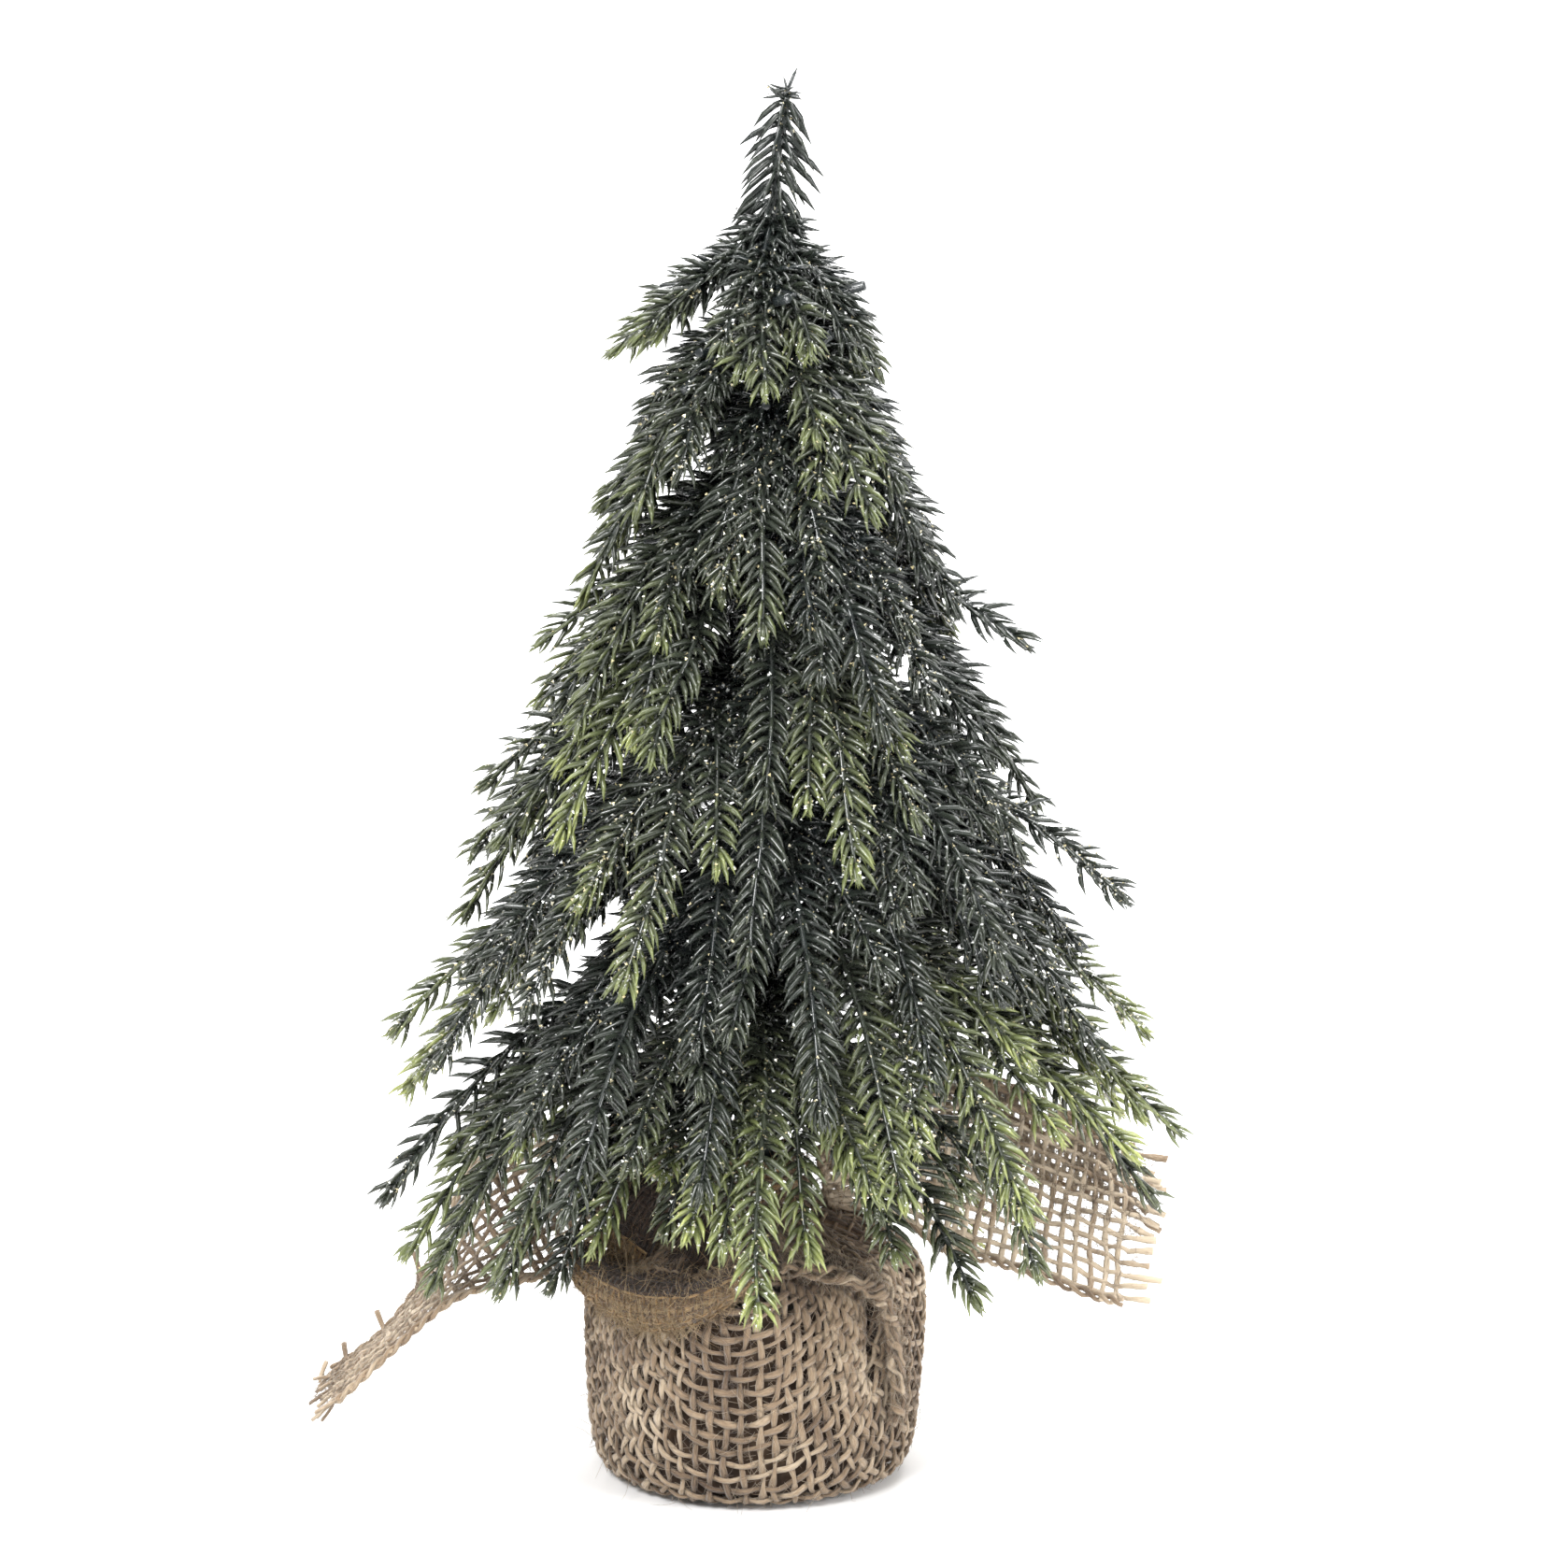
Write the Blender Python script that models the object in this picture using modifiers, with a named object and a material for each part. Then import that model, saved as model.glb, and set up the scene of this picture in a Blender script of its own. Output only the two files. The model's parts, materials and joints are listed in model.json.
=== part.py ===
"""Artificial tabletop fir tree, 31 cm tall, standing in a weighted base wrapped in burlap.

Every sub-part is one object. Lengths are written in millimetres and turned to metres by MM.
The origin is the centre of the base's underside, +Z is up, +X is the tree's right and -Y its front.
Azimuths run from +X towards +Y, in degrees: 0 is right, 90 back, 180 left and 270 front.
"""

import math
import random
from collections import namedtuple

import bmesh
import bpy
from mathutils import Matrix, Vector

MM = 0.001
GAP = 0.4  # clearance that neighbouring solids keep
TURNS = 32  # segments round a turned shape
SEED = 34

# Base: a plastic cup filled with plaster, under the cloth.
BASE_RADIUS = 36.5
BASE_HEIGHT = 50.0
FOOT_RADIUS = 31.5
CLOTH = 1.6
CUP_WALL = 1.4
CUP_HEIGHT = 42.0
PLASTER_TOP = 40.0

# Trunk: a steel wire wound with floral tape.
WIRE_RADIUS = 1.5
WIRE_FOOT = 10.5
TRUNK_TOP = 270.0
TAPE_RADIUS_LOW = 5.0
TAPE_RADIUS_TOP = 2.7
TAPE_STRAIGHT_TO = 85.0
TREE_HEIGHT = 308.0
LEADER_LEAN = 7.0  # further to the right than the trunk
TRUNK_LEAN = 1.0  # to the right, about a point low in the plaster
LEAN_PIVOT = 25.0

# Neck of the cloth, and the ribbon tied round it.
NECK_RADIUS = 8.0
NECK_TOP = 76.0
COLLAR_RADIUS = 12.5
COLLAR_LOW = 59.0
COLLAR_TOP = 71.0
RIBBON_HALF_WIDTH = 20.0
RIBBON_THICKNESS = 1.8
RIBBON_STEPS = 14

# Branch tiers from the top down: height of the roots on the trunk, number of branches, distance of
# the tips from the trunk's axis, how far the tips hang below the roots, azimuth of the first branch.
Tier = namedtuple("Tier", "root count reach drop first")
TIERS = (
    Tier(root=266, count=4, reach=27, drop=24, first=83),
    Tier(root=252, count=4, reach=32, drop=35, first=35),
    Tier(root=236, count=4, reach=38, drop=42, first=88),
    Tier(root=218, count=4, reach=46, drop=46, first=32),
    Tier(root=199, count=5, reach=55, drop=50, first=5),
    Tier(root=179, count=5, reach=65, drop=54, first=30),
    Tier(root=158, count=5, reach=72, drop=56, first=61),
    Tier(root=136, count=5, reach=80, drop=57, first=22),
    Tier(root=115, count=5, reach=78, drop=61, first=56),
    Tier(root=95, count=4, reach=62, drop=53, first=45),
)
REACH_JITTER = 0.05
DROP_JITTER = 0.06
AZIMUTH_JITTER = 4.0
ROOT_GAP = 0.9  # from the tape to a branch's root, so that the root turns freely

# A branch is a main sprig and two side sprigs. Each solid is the stem with the core of its needles.
# Pairs of (share of the length, radius).
MAIN_GIRTH = ((0, 1.0), (0.15, 1.2), (0.35, 2.1), (0.6, 2.4), (0.85, 1.8), (1, 0.5))
SIDE_GIRTH = ((0, 0.9), (0.3, 1.5), (0.7, 1.7), (1, 0.5))
ARCH_SHARE = 0.45  # where along the reach the stem's arch peaks
ARCH_RISE = 0.06  # how far it rises there, as a share of the reach
SIDE_STARTS = ((0.34, 1), (0.48, -1))  # share of the main sprig, and the side it leaves to
SIDE_ANGLE = 30.0
SIDE_LENGTH = 0.44  # share of the main sprig's length
SIDE_SAG = 0.22  # share of the side sprig's length

Station = namedtuple("Station", "x y z half_width tilt")
# Centre line of each ribbon tail from the collar outwards. Tilt leans the upper edge backwards.
TAIL_RIGHT = (
    Station(15.5, 3, 63.5, 6.5, 5),
    Station(30, 7, 66.5, 13, 14),
    Station(44, 10, 65.5, 20, 26),
    Station(58, 10, 61, 20, 38),
    Station(72, 8, 55.5, 20, 50),
    Station(85, 6, 50.5, 20, 56),
)
TAIL_LEFT = (
    Station(-15.5, 2, 63.5, 6.5, 5),
    Station(-32, 4, 64.5, 11, 20),
    Station(-50, 5, 56, 18, 48),
    Station(-63, 3, 43.5, 18, 82),
    Station(-77, 0, 28, 18, 88),
    Station(-91, -3, 15.5, 17, 88),
)

# The ribbon's knot is a thick fold that hangs over the front left shoulder of the base.
KNOT_AZIMUTHS = (205.0, 268.0)
KNOT_THICKNESS = 3.6
KNOT_PROFILE = ((14.5, 66), (22, 63.5), (32, 59), (39, 53.5), (41.5, 46), (41.0, 40))
KNOT_LIP = 4.0  # how much lower the fold hangs in its middle

# The loose edge of the cloth, where it overlaps itself on the front right of the base.
EDGE_AZIMUTHS = (317.0, 330.0)
EDGE_HEIGHTS = (18.0, 46.0)
EDGE_THICKNESS = 1.6


# --- materials and collections -------------------------------------------------------------------

def material(name, colour, roughness, metallic=0.0):
    """A Principled material of one colour, given as linear red, green and blue."""
    made = bpy.data.materials.new(name)
    made.use_nodes = True
    shader = made.node_tree.nodes["Principled BSDF"]
    shader.inputs["Base Color"].default_value = (*colour, 1.0)
    shader.inputs["Roughness"].default_value = roughness
    shader.inputs["Metallic"].default_value = metallic
    return made


def collection(name):
    made = bpy.data.collections.new(name)
    bpy.context.scene.collection.children.link(made)
    return made


def place(obj, home, finish, parent=None):
    """Moves an object into a collection and gives it its material and its parent."""
    for user in tuple(obj.users_collection):
        user.objects.unlink(obj)
    home.objects.link(obj)
    obj.data.materials.clear()
    obj.data.materials.append(finish)
    if parent:
        obj.parent = parent
        obj.matrix_parent_inverse = Matrix.Translation(-parent.location)
    return obj


# --- shapes ---------------------------------------------------------------------------------------

def turned(name, profile):
    """A shape turned about Z from (radius, height) points that run up its inside and down its outside."""
    mesh = bpy.data.meshes.new(name)
    points = [(radius * MM, 0, height * MM) for radius, height in profile]
    edges = [(i, i + 1) for i in range(len(points) - 1)]
    if profile[0][0] > 0:
        edges.append((len(points) - 1, 0))
    mesh.from_pydata(points, edges, [])
    obj = bpy.data.objects.new(name, mesh)
    screw = obj.modifiers.new("turn", "SCREW")
    screw.steps = TURNS
    screw.render_steps = TURNS
    screw.use_merge_vertices = True
    screw.merge_threshold = 0.00001
    return obj


def sheet_solid(name, surface, steps_u, steps_v, thickness):
    """A grid laid on surface(u, v), with u and v from 0 to 1, and given its thickness."""
    bpy.ops.mesh.primitive_grid_add(x_subdivisions=steps_u, y_subdivisions=steps_v, size=1)
    obj = bpy.context.object
    obj.name = name
    for vertex in obj.data.vertices:
        vertex.co = surface(vertex.co.x + 0.5, vertex.co.y + 0.5) * MM
    solidify = obj.modifiers.new("thickness", "SOLIDIFY")
    solidify.thickness = thickness * MM
    solidify.offset = 0
    return obj


def mesh_from_curve(curve):
    """Turns a curve object into a mesh object with its caps welded, and removes the curve."""
    name = curve.name
    graph = bpy.context.evaluated_depsgraph_get()
    mesh = bpy.data.meshes.new_from_object(curve.evaluated_get(graph))
    bpy.data.objects.remove(curve)
    made = bpy.data.objects.new(name, mesh)
    bpy.context.scene.collection.objects.link(made)
    shape = bmesh.new()
    shape.from_mesh(mesh)
    bmesh.ops.remove_doubles(shape, verts=shape.verts, dist=0.00001)
    shape.to_mesh(mesh)
    shape.free()
    return made


def spindle(name, path, girth):
    """A tube with closed ends along path(t), whose radius follows the girth table."""
    data = bpy.data.curves.new(name, "CURVE")
    data.dimensions = "3D"
    data.bevel_depth = MM
    data.bevel_resolution = 1
    data.use_fill_caps = True
    spline = data.splines.new("POLY")
    spline.points.add(len(girth) - 1)
    for point, (share, radius) in zip(spline.points, girth):
        point.co = (*(path(share) * MM), 1)
        point.radius = radius
    obj = bpy.data.objects.new(name, data)
    bpy.context.scene.collection.objects.link(obj)
    bpy.context.view_layer.update()
    return mesh_from_curve(obj)


def union(body, other):
    """Joins other into body and removes it."""
    join = body.modifiers.new("join", "BOOLEAN")
    join.operation = "UNION"
    join.object = other
    bpy.context.view_layer.update()
    graph = bpy.context.evaluated_depsgraph_get()
    mesh = bpy.data.meshes.new_from_object(body.evaluated_get(graph))
    body.modifiers.clear()
    body.data = mesh
    bpy.data.objects.remove(other)


def arc(start, control, end):
    """The quadratic curve from start to end that is pulled towards control, as a function of 0 to 1."""
    def at(t):
        return start * (1 - t) ** 2 + control * (2 * t * (1 - t)) + end * t**2
    return at


def smooth(rows, t):
    """The value at t, from 0 to 1, on a smooth curve through evenly spaced rows of numbers."""
    place_on = t * (len(rows) - 1)
    i = min(int(place_on), len(rows) - 2)
    f = place_on - i
    before, here, after, beyond = (rows[max(0, min(len(rows) - 1, i + k))] for k in (-1, 0, 1, 2))
    return [
        b + 0.5 * f * (c - a + f * (2 * a - 5 * b + 4 * c - d + f * (3 * (b - c) + d - a)))
        for a, b, c, d in zip(before, here, after, beyond)
    ]


def trunk_radius(height):
    """Radius of the taped trunk at a height."""
    share = (height - TAPE_STRAIGHT_TO) / (TRUNK_TOP - TAPE_STRAIGHT_TO)
    return TAPE_RADIUS_LOW + (TAPE_RADIUS_TOP - TAPE_RADIUS_LOW) * max(0.0, min(1.0, share))


# --- base -----------------------------------------------------------------------------------------

def base_cup():
    inner_foot = FOOT_RADIUS - 2.2
    rim = BASE_RADIUS - CLOTH - 0.9
    floor = CLOTH + GAP
    return turned("base_cup", (
        (0, floor + CUP_WALL),
        (inner_foot - CUP_WALL, floor + CUP_WALL),
        (FOOT_RADIUS - CUP_WALL, floor + 3),
        (rim - CUP_WALL, floor + CUP_HEIGHT),
        (rim, floor + CUP_HEIGHT),
        (FOOT_RADIUS, floor + 2.4),
        (inner_foot, floor),
        (0, floor),
    ))


def base_weight():
    low = CLOTH + GAP + CUP_WALL + GAP
    rim = BASE_RADIUS - CLOTH - 0.9 - CUP_WALL - GAP
    foot = FOOT_RADIUS - CUP_WALL - GAP
    hole = WIRE_RADIUS + GAP
    return turned("base_weight", (
        (0, WIRE_FOOT - GAP),
        (hole, WIRE_FOOT - GAP),
        (hole, PLASTER_TOP),
        (rim - 0.3, PLASTER_TOP),
        (foot, low + 2.2),
        (foot - 1.6, low),
        (0, low),
    ))


def burlap_wrap():
    """The cloth under, round and over the base, gathered to a neck round the trunk."""
    flare = 3.0
    outer = (
        (NECK_RADIUS + flare, NECK_TOP),
        (NECK_RADIUS, NECK_TOP - 5),
        (NECK_RADIUS, COLLAR_LOW + 1),
        (12, 56.5),
        (24, 53),
        (32.5, BASE_HEIGHT),
        (BASE_RADIUS - 0.5, BASE_HEIGHT - 5),
        (BASE_RADIUS, 30),
        (BASE_RADIUS - 1.5, 9),
        (BASE_RADIUS - 3.2, 2.2),
        (FOOT_RADIUS - 1, 0),
        (0, 0),
    )
    inner = (
        (0, CLOTH),
        (FOOT_RADIUS - 1.6, CLOTH),
        (BASE_RADIUS - 4.6, 3),
        (BASE_RADIUS - CLOTH - 1.4, 9.3),
        (BASE_RADIUS - CLOTH, 30),
        (BASE_RADIUS - CLOTH - 0.4, BASE_HEIGHT - 5.3),
        (31.9, BASE_HEIGHT - CLOTH),
        (23.5, 53 - CLOTH),
        (11, 56.5 - CLOTH),
        (NECK_RADIUS - CLOTH, COLLAR_LOW + 0.5),
        (NECK_RADIUS - CLOTH, NECK_TOP - 4.4),
        (NECK_RADIUS + flare - CLOTH, NECK_TOP + 0.6),
    )
    return turned("burlap_wrap", inner + outer)


def wrap_overlap_edge():
    """The loose hem of the cloth, standing off the base's side."""
    middle = BASE_RADIUS + GAP + 0.5 + EDGE_THICKNESS / 2

    def surface(u, v):
        azimuth = math.radians(EDGE_AZIMUTHS[0] + u * (EDGE_AZIMUTHS[1] - EDGE_AZIMUTHS[0]))
        height = EDGE_HEIGHTS[0] + v * (EDGE_HEIGHTS[1] - EDGE_HEIGHTS[0])
        return Vector((middle * math.cos(azimuth), middle * math.sin(azimuth), height))

    return sheet_solid("wrap_overlap_edge", surface, 4, 6, EDGE_THICKNESS)


def ribbon_collar():
    """The ribbon's loop round the gathered neck, bulging in the middle of its width."""
    inner = NECK_RADIUS + GAP
    middle = (COLLAR_LOW + COLLAR_TOP) / 2
    return turned("ribbon_collar", (
        (inner, COLLAR_LOW + 3),
        (inner, COLLAR_TOP - 3),
        (inner + 1.5, COLLAR_TOP),
        (COLLAR_RADIUS - 0.8, COLLAR_TOP - 1.5),
        (COLLAR_RADIUS, middle),
        (COLLAR_RADIUS - 0.8, COLLAR_LOW + 2.6),
        (inner + 2.0, COLLAR_LOW + 1.4),
    ))


def ribbon_knot():
    """The folded knot: from the collar over the shoulder of the base, hanging lowest in its middle."""
    def surface(u, v):
        azimuth = math.radians(KNOT_AZIMUTHS[0] + u * (KNOT_AZIMUTHS[1] - KNOT_AZIMUTHS[0]))
        radius, height = smooth(KNOT_PROFILE, v)
        height -= KNOT_LIP * v * math.sin(math.pi * u)
        return Vector((radius * math.cos(azimuth), radius * math.sin(azimuth), height))

    return sheet_solid("ribbon_knot", surface, 9, 9, KNOT_THICKNESS)


def ribbon_tail(name, stations):
    """A tail of the ribbon, laid on its centre line and leaning back by its tilt."""
    def surface(u, v):
        step = 0.01
        x, y, z, half_width, tilt = smooth(stations, u)
        centre = Vector((x, y, z))
        ahead = Vector(smooth(stations, min(1.0, u + step))[:3])
        behind = Vector(smooth(stations, max(0.0, u - step))[:3])
        along = (ahead - behind).normalized()
        up = Vector((0, 0, 1))
        up = (up - along * up.dot(along)).normalized()
        back = Vector((0, 1, 0))
        back = (back - along * back.dot(along) - up * back.dot(up)).normalized()
        across = up * math.cos(math.radians(tilt)) + back * math.sin(math.radians(tilt))
        return centre + across * half_width * (2 * v - 1)

    obj = sheet_solid(name, surface, RIBBON_STEPS, 4, RIBBON_THICKNESS)
    hinge = Vector(stations[0][:3]) * MM
    obj.data.transform(Matrix.Translation(-hinge))
    obj.location = hinge
    return obj


# --- trunk and branches ---------------------------------------------------------------------------

def leaning_axis(home):
    """An empty low in the plaster that carries the trunk and all it holds, and leans them."""
    axis = bpy.data.objects.new("leaning_axis", None)
    axis.location.z = LEAN_PIVOT * MM
    axis.rotation_euler.y = math.radians(TRUNK_LEAN)
    home.objects.link(axis)
    return axis


def trunk_core_wire():
    length = (TRUNK_TOP - 1 - WIRE_FOOT) * MM
    bpy.ops.mesh.primitive_cylinder_add(
        vertices=12, radius=WIRE_RADIUS * MM, depth=length,
        location=(0, 0, WIRE_FOOT * MM + length / 2))
    bpy.context.object.name = "trunk_core_wire"
    return bpy.context.object


def trunk_tape():
    """The tape wound round the wire and the roots of the branches, thinner towards the top."""
    inner = WIRE_RADIUS + GAP
    low = PLASTER_TOP + GAP
    return turned("trunk_tape", (
        (inner, low),
        (inner, TRUNK_TOP),
        (trunk_radius(TRUNK_TOP) - 0.3, TRUNK_TOP),
        (trunk_radius(TRUNK_TOP), TRUNK_TOP - 2),
        (trunk_radius(TAPE_STRAIGHT_TO), TAPE_STRAIGHT_TO),
        (TAPE_RADIUS_LOW, low),
    ))


def leader_sprig():
    """The upright sprig at the top. Its origin is its root, and it leans a little to the right."""
    root = Vector((0, 0, TRUNK_TOP + ROOT_GAP))
    height = TREE_HEIGHT - root.z
    length = height / math.cos(math.radians(LEADER_LEAN))
    girth = ((0, 1.0), (0.1, 1.3), (0.3, 3.6), (0.62, 2.6), (0.86, 1.5), (1, 0.4))
    obj = spindle("leader_sprig", lambda t: Vector((0, 0, length * t)), girth)
    obj.location = root * MM
    obj.rotation_euler.y = math.radians(LEADER_LEAN)
    return obj


def branch_plan():
    """Name, root, azimuth, length outwards and drop of every branch, from the tiers."""
    draw = random.Random(SEED)
    plan = []
    for number, tier in enumerate(TIERS, 1):
        for k in range(tier.count):
            azimuth = tier.first + 360 * k / tier.count + draw.uniform(-1, 1) * AZIMUTH_JITTER
            reach = tier.reach * (1 + draw.uniform(-1, 1) * REACH_JITTER)
            drop = tier.drop * (1 + draw.uniform(-1, 1) * DROP_JITTER)
            start = trunk_radius(tier.root) + ROOT_GAP
            turn = math.radians(azimuth)
            root = Vector((start * math.cos(turn), start * math.sin(turn), tier.root))
            plan.append((f"branch_{number:02d}_{k + 1}", root, azimuth, reach - start, drop))
    return plan


def branch(name, root, azimuth, length, drop):
    """A branch of one main and two side sprigs. Its origin is its root and +X its way outwards."""
    tip = Vector((length, 0, -drop))
    main = arc(Vector((0, 0, 0)), Vector((length * ARCH_SHARE, 0, length * ARCH_RISE)), tip)
    obj = spindle(name, main, MAIN_GIRTH)
    side_length = SIDE_LENGTH * tip.length
    for share, side in SIDE_STARTS:
        start = main(share)
        heading = (main(share + 0.05) - start).normalized()
        heading.rotate(Matrix.Rotation(side * math.radians(SIDE_ANGLE), 3, "Z"))
        end = start + heading * side_length - Vector((0, 0, SIDE_SAG * side_length))
        side_path = arc(start, start + heading * side_length * 0.5, end)
        union(obj, spindle(name + "_side", side_path, SIDE_GIRTH))
    obj.location = root * MM
    obj.rotation_euler.z = math.radians(azimuth)
    return obj


def build():
    for old in tuple(bpy.data.objects):
        bpy.data.objects.remove(old)
    home = collection("tabletop_tree")
    jute = material("jute", (0.32, 0.20, 0.11), 0.95)
    cup = material("cup_plastic", (0.02, 0.015, 0.01), 0.5)
    plaster = material("plaster", (0.55, 0.53, 0.5), 0.9)
    steel = material("steel_wire", (0.45, 0.45, 0.46), 0.35, metallic=1.0)
    tape = material("floral_tape", (0.008, 0.016, 0.015), 0.55)
    needles = material("moulded_needles", (0.02, 0.045, 0.02), 0.4)

    place(base_cup(), home, cup)
    place(base_weight(), home, plaster)
    place(burlap_wrap(), home, jute)
    place(wrap_overlap_edge(), home, jute)
    place(ribbon_collar(), home, jute)
    place(ribbon_knot(), home, jute)
    place(ribbon_tail("ribbon_tail_right", TAIL_RIGHT), home, jute)
    place(ribbon_tail("ribbon_tail_left", TAIL_LEFT), home, jute)
    axis = leaning_axis(home)
    place(trunk_core_wire(), home, steel, axis)
    place(trunk_tape(), home, tape, axis)
    place(leader_sprig(), home, needles, axis)
    for plan in branch_plan():
        place(branch(*plan), home, needles, axis)


if __name__ == "__main__":
    build()
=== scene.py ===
"""Looks of the tabletop fir tree in its burlap-wrapped base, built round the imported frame.

Lengths are in millimetres until a mesh is made, and MM turns them to metres. The tree's front is
-Y, its right +X. A pattern's scale is per metre on Object coordinates, and per millimetre on a UV map.
"""

import json
import logging
import math
from dataclasses import dataclass, field
from enum import Enum

import bpy
import numpy as np
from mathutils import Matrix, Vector


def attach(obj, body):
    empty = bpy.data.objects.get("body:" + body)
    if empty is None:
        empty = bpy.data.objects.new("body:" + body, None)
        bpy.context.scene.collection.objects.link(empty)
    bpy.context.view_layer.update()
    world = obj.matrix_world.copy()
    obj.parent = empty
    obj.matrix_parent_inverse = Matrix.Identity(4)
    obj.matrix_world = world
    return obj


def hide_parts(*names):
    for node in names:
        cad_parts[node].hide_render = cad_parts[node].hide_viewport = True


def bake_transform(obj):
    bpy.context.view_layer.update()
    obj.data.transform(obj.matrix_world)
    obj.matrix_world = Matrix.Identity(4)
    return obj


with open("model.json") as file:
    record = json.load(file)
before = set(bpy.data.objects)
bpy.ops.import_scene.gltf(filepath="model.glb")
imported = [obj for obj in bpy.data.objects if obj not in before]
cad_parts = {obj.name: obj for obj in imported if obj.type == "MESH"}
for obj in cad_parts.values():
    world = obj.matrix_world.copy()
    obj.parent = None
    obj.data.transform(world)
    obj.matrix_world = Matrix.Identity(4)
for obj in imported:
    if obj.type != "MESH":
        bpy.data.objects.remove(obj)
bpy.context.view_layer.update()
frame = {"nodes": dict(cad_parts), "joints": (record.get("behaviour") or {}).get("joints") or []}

MM = 0.001
NEEDLE_LENGTH = 8.0  # of the mould, before a copy is stretched
UP = np.array((0.0, 0.0, 1.0))
LOG = logging.getLogger("tabletop_fir")

Points = np.ndarray
Numbers = np.ndarray
Rows = tuple[tuple[float, ...], ...]


# --- small helpers -----------------------------------------------------------------------------------

def linear(code: str) -> tuple[float, float, float, float]:
    """Turns a colour as seen on screen to the linear one that a shader takes.

    Args:
        code: sRGB colour as "#rrggbb".

    Returns:
        Linear red, green, blue and an alpha of 1.
    """
    parts = [int(code[i:i + 2], 16) / 255 for i in (1, 3, 5)]
    red, green, blue = (c / 12.92 if c <= 0.04045 else ((c + 0.055) / 1.055) ** 2.4 for c in parts)
    return red, green, blue, 1.0


def add(tree: bpy.types.NodeTree, kind: str, inputs: dict | None = None,
        stops: tuple = (), **settings) -> bpy.types.Node:
    """Adds a node with its settings, values and links.

    Args:
        tree: node tree that takes the node.
        kind: the node's type name.
        inputs: input name or number to a value, or to the socket that links to it.
        stops: for a colour ramp, pairs of place and "#rrggbb".
        **settings: the node's own properties.

    Returns:
        The new node.
    """
    node = tree.nodes.new(kind)
    for name, value in settings.items():
        setattr(node, name, value)
    for name, value in (inputs or {}).items():
        if isinstance(value, bpy.types.NodeSocket):
            tree.links.new(value, node.inputs[name])
        else:
            node.inputs[name].default_value = value
    for i, (place, code) in enumerate(stops):
        elements = node.color_ramp.elements
        element = elements[i] if i < 2 else elements.new(place)
        element.position, element.color = place, linear(code)
    return node


def unit(vectors: Points) -> Points:
    """Scales vectors along the last axis to length 1."""
    return vectors / np.maximum(np.linalg.norm(vectors, axis=-1, keepdims=True), 1e-9)


def ripple(places: Numbers, period: float, seed: int) -> Numbers:
    """Smooth noise along a line.

    Args:
        places: where to read it.
        period: typical length of one swing.
        seed: picks the pattern.

    Returns:
        Values between about -1 and 1.
    """
    draw = np.random.default_rng(seed)
    total = np.zeros_like(np.asarray(places, float))
    for _ in range(4):
        total += np.sin(places * (2 * math.pi / period) * draw.uniform(0.55, 1.8)
                        + draw.uniform(0, 2 * math.pi))
    return total * 0.36


def spaced(path: Points, step: float) -> Points:
    """Points at even steps along a path.

    Args:
        path: (n, 3) points of the path.
        step: distance wanted between points.

    Returns:
        (m, 3) points from its first to its last.
    """
    run = np.concatenate(([0], np.cumsum(np.linalg.norm(np.diff(path, axis=0), axis=1))))
    count = max(3, int(round(run[-1] / step)) + 1)
    at = np.linspace(0, run[-1], count)
    return np.stack([np.interp(at, run, path[:, k]) for k in range(3)], axis=1)


def tumbled(count: int, draw: np.random.Generator) -> Points:
    """Axes turned every way.

    Args:
        count: how many sets.
        draw: source of the random directions.

    Returns:
        (count, 3, 3) right-handed sets of three unit axes.
    """
    axes = unit(draw.normal(size=(count, 3, 3)))
    axes[:, 1] = unit(np.cross(axes[:, 2], axes[:, 0]))
    axes[:, 0] = np.cross(axes[:, 1], axes[:, 2])
    return axes


def arc(start: Points, control: Points, end: Points, count: int = 40) -> Points:
    """(count, 3) points on the quadratic curve from start to end that control pulls on."""
    t = np.linspace(0, 1, count)[:, None]
    return start * (1 - t) ** 2 + control * (2 * t * (1 - t)) + end * t**2


def through(rows: Points, t: Numbers) -> Points:
    """Values on a smooth curve through evenly spaced rows.

    Args:
        rows: (n, k) numbers to pass through.
        t: (m,) places, 0 at the first row and 1 at the last.

    Returns:
        (m, k) values. Past either end the curve runs on straight.
    """
    inside = np.clip(t, 0, 1)
    at = inside * (len(rows) - 1)
    i = np.minimum(at.astype(int), len(rows) - 2)
    f = (at - i)[:, None]
    a, b, c, d = (rows[np.clip(i + k, 0, len(rows) - 1)] for k in (-1, 0, 1, 2))
    curve = b + 0.5 * f * (c - a + f * (2 * a - 5 * b + 4 * c - d + f * (3 * (b - c) + d - a)))
    slope = np.where((t > 0.5)[:, None], rows[-1] - rows[-2], rows[1] - rows[0]) * (len(rows) - 1)
    return curve + (t - inside)[:, None] * slope


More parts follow.
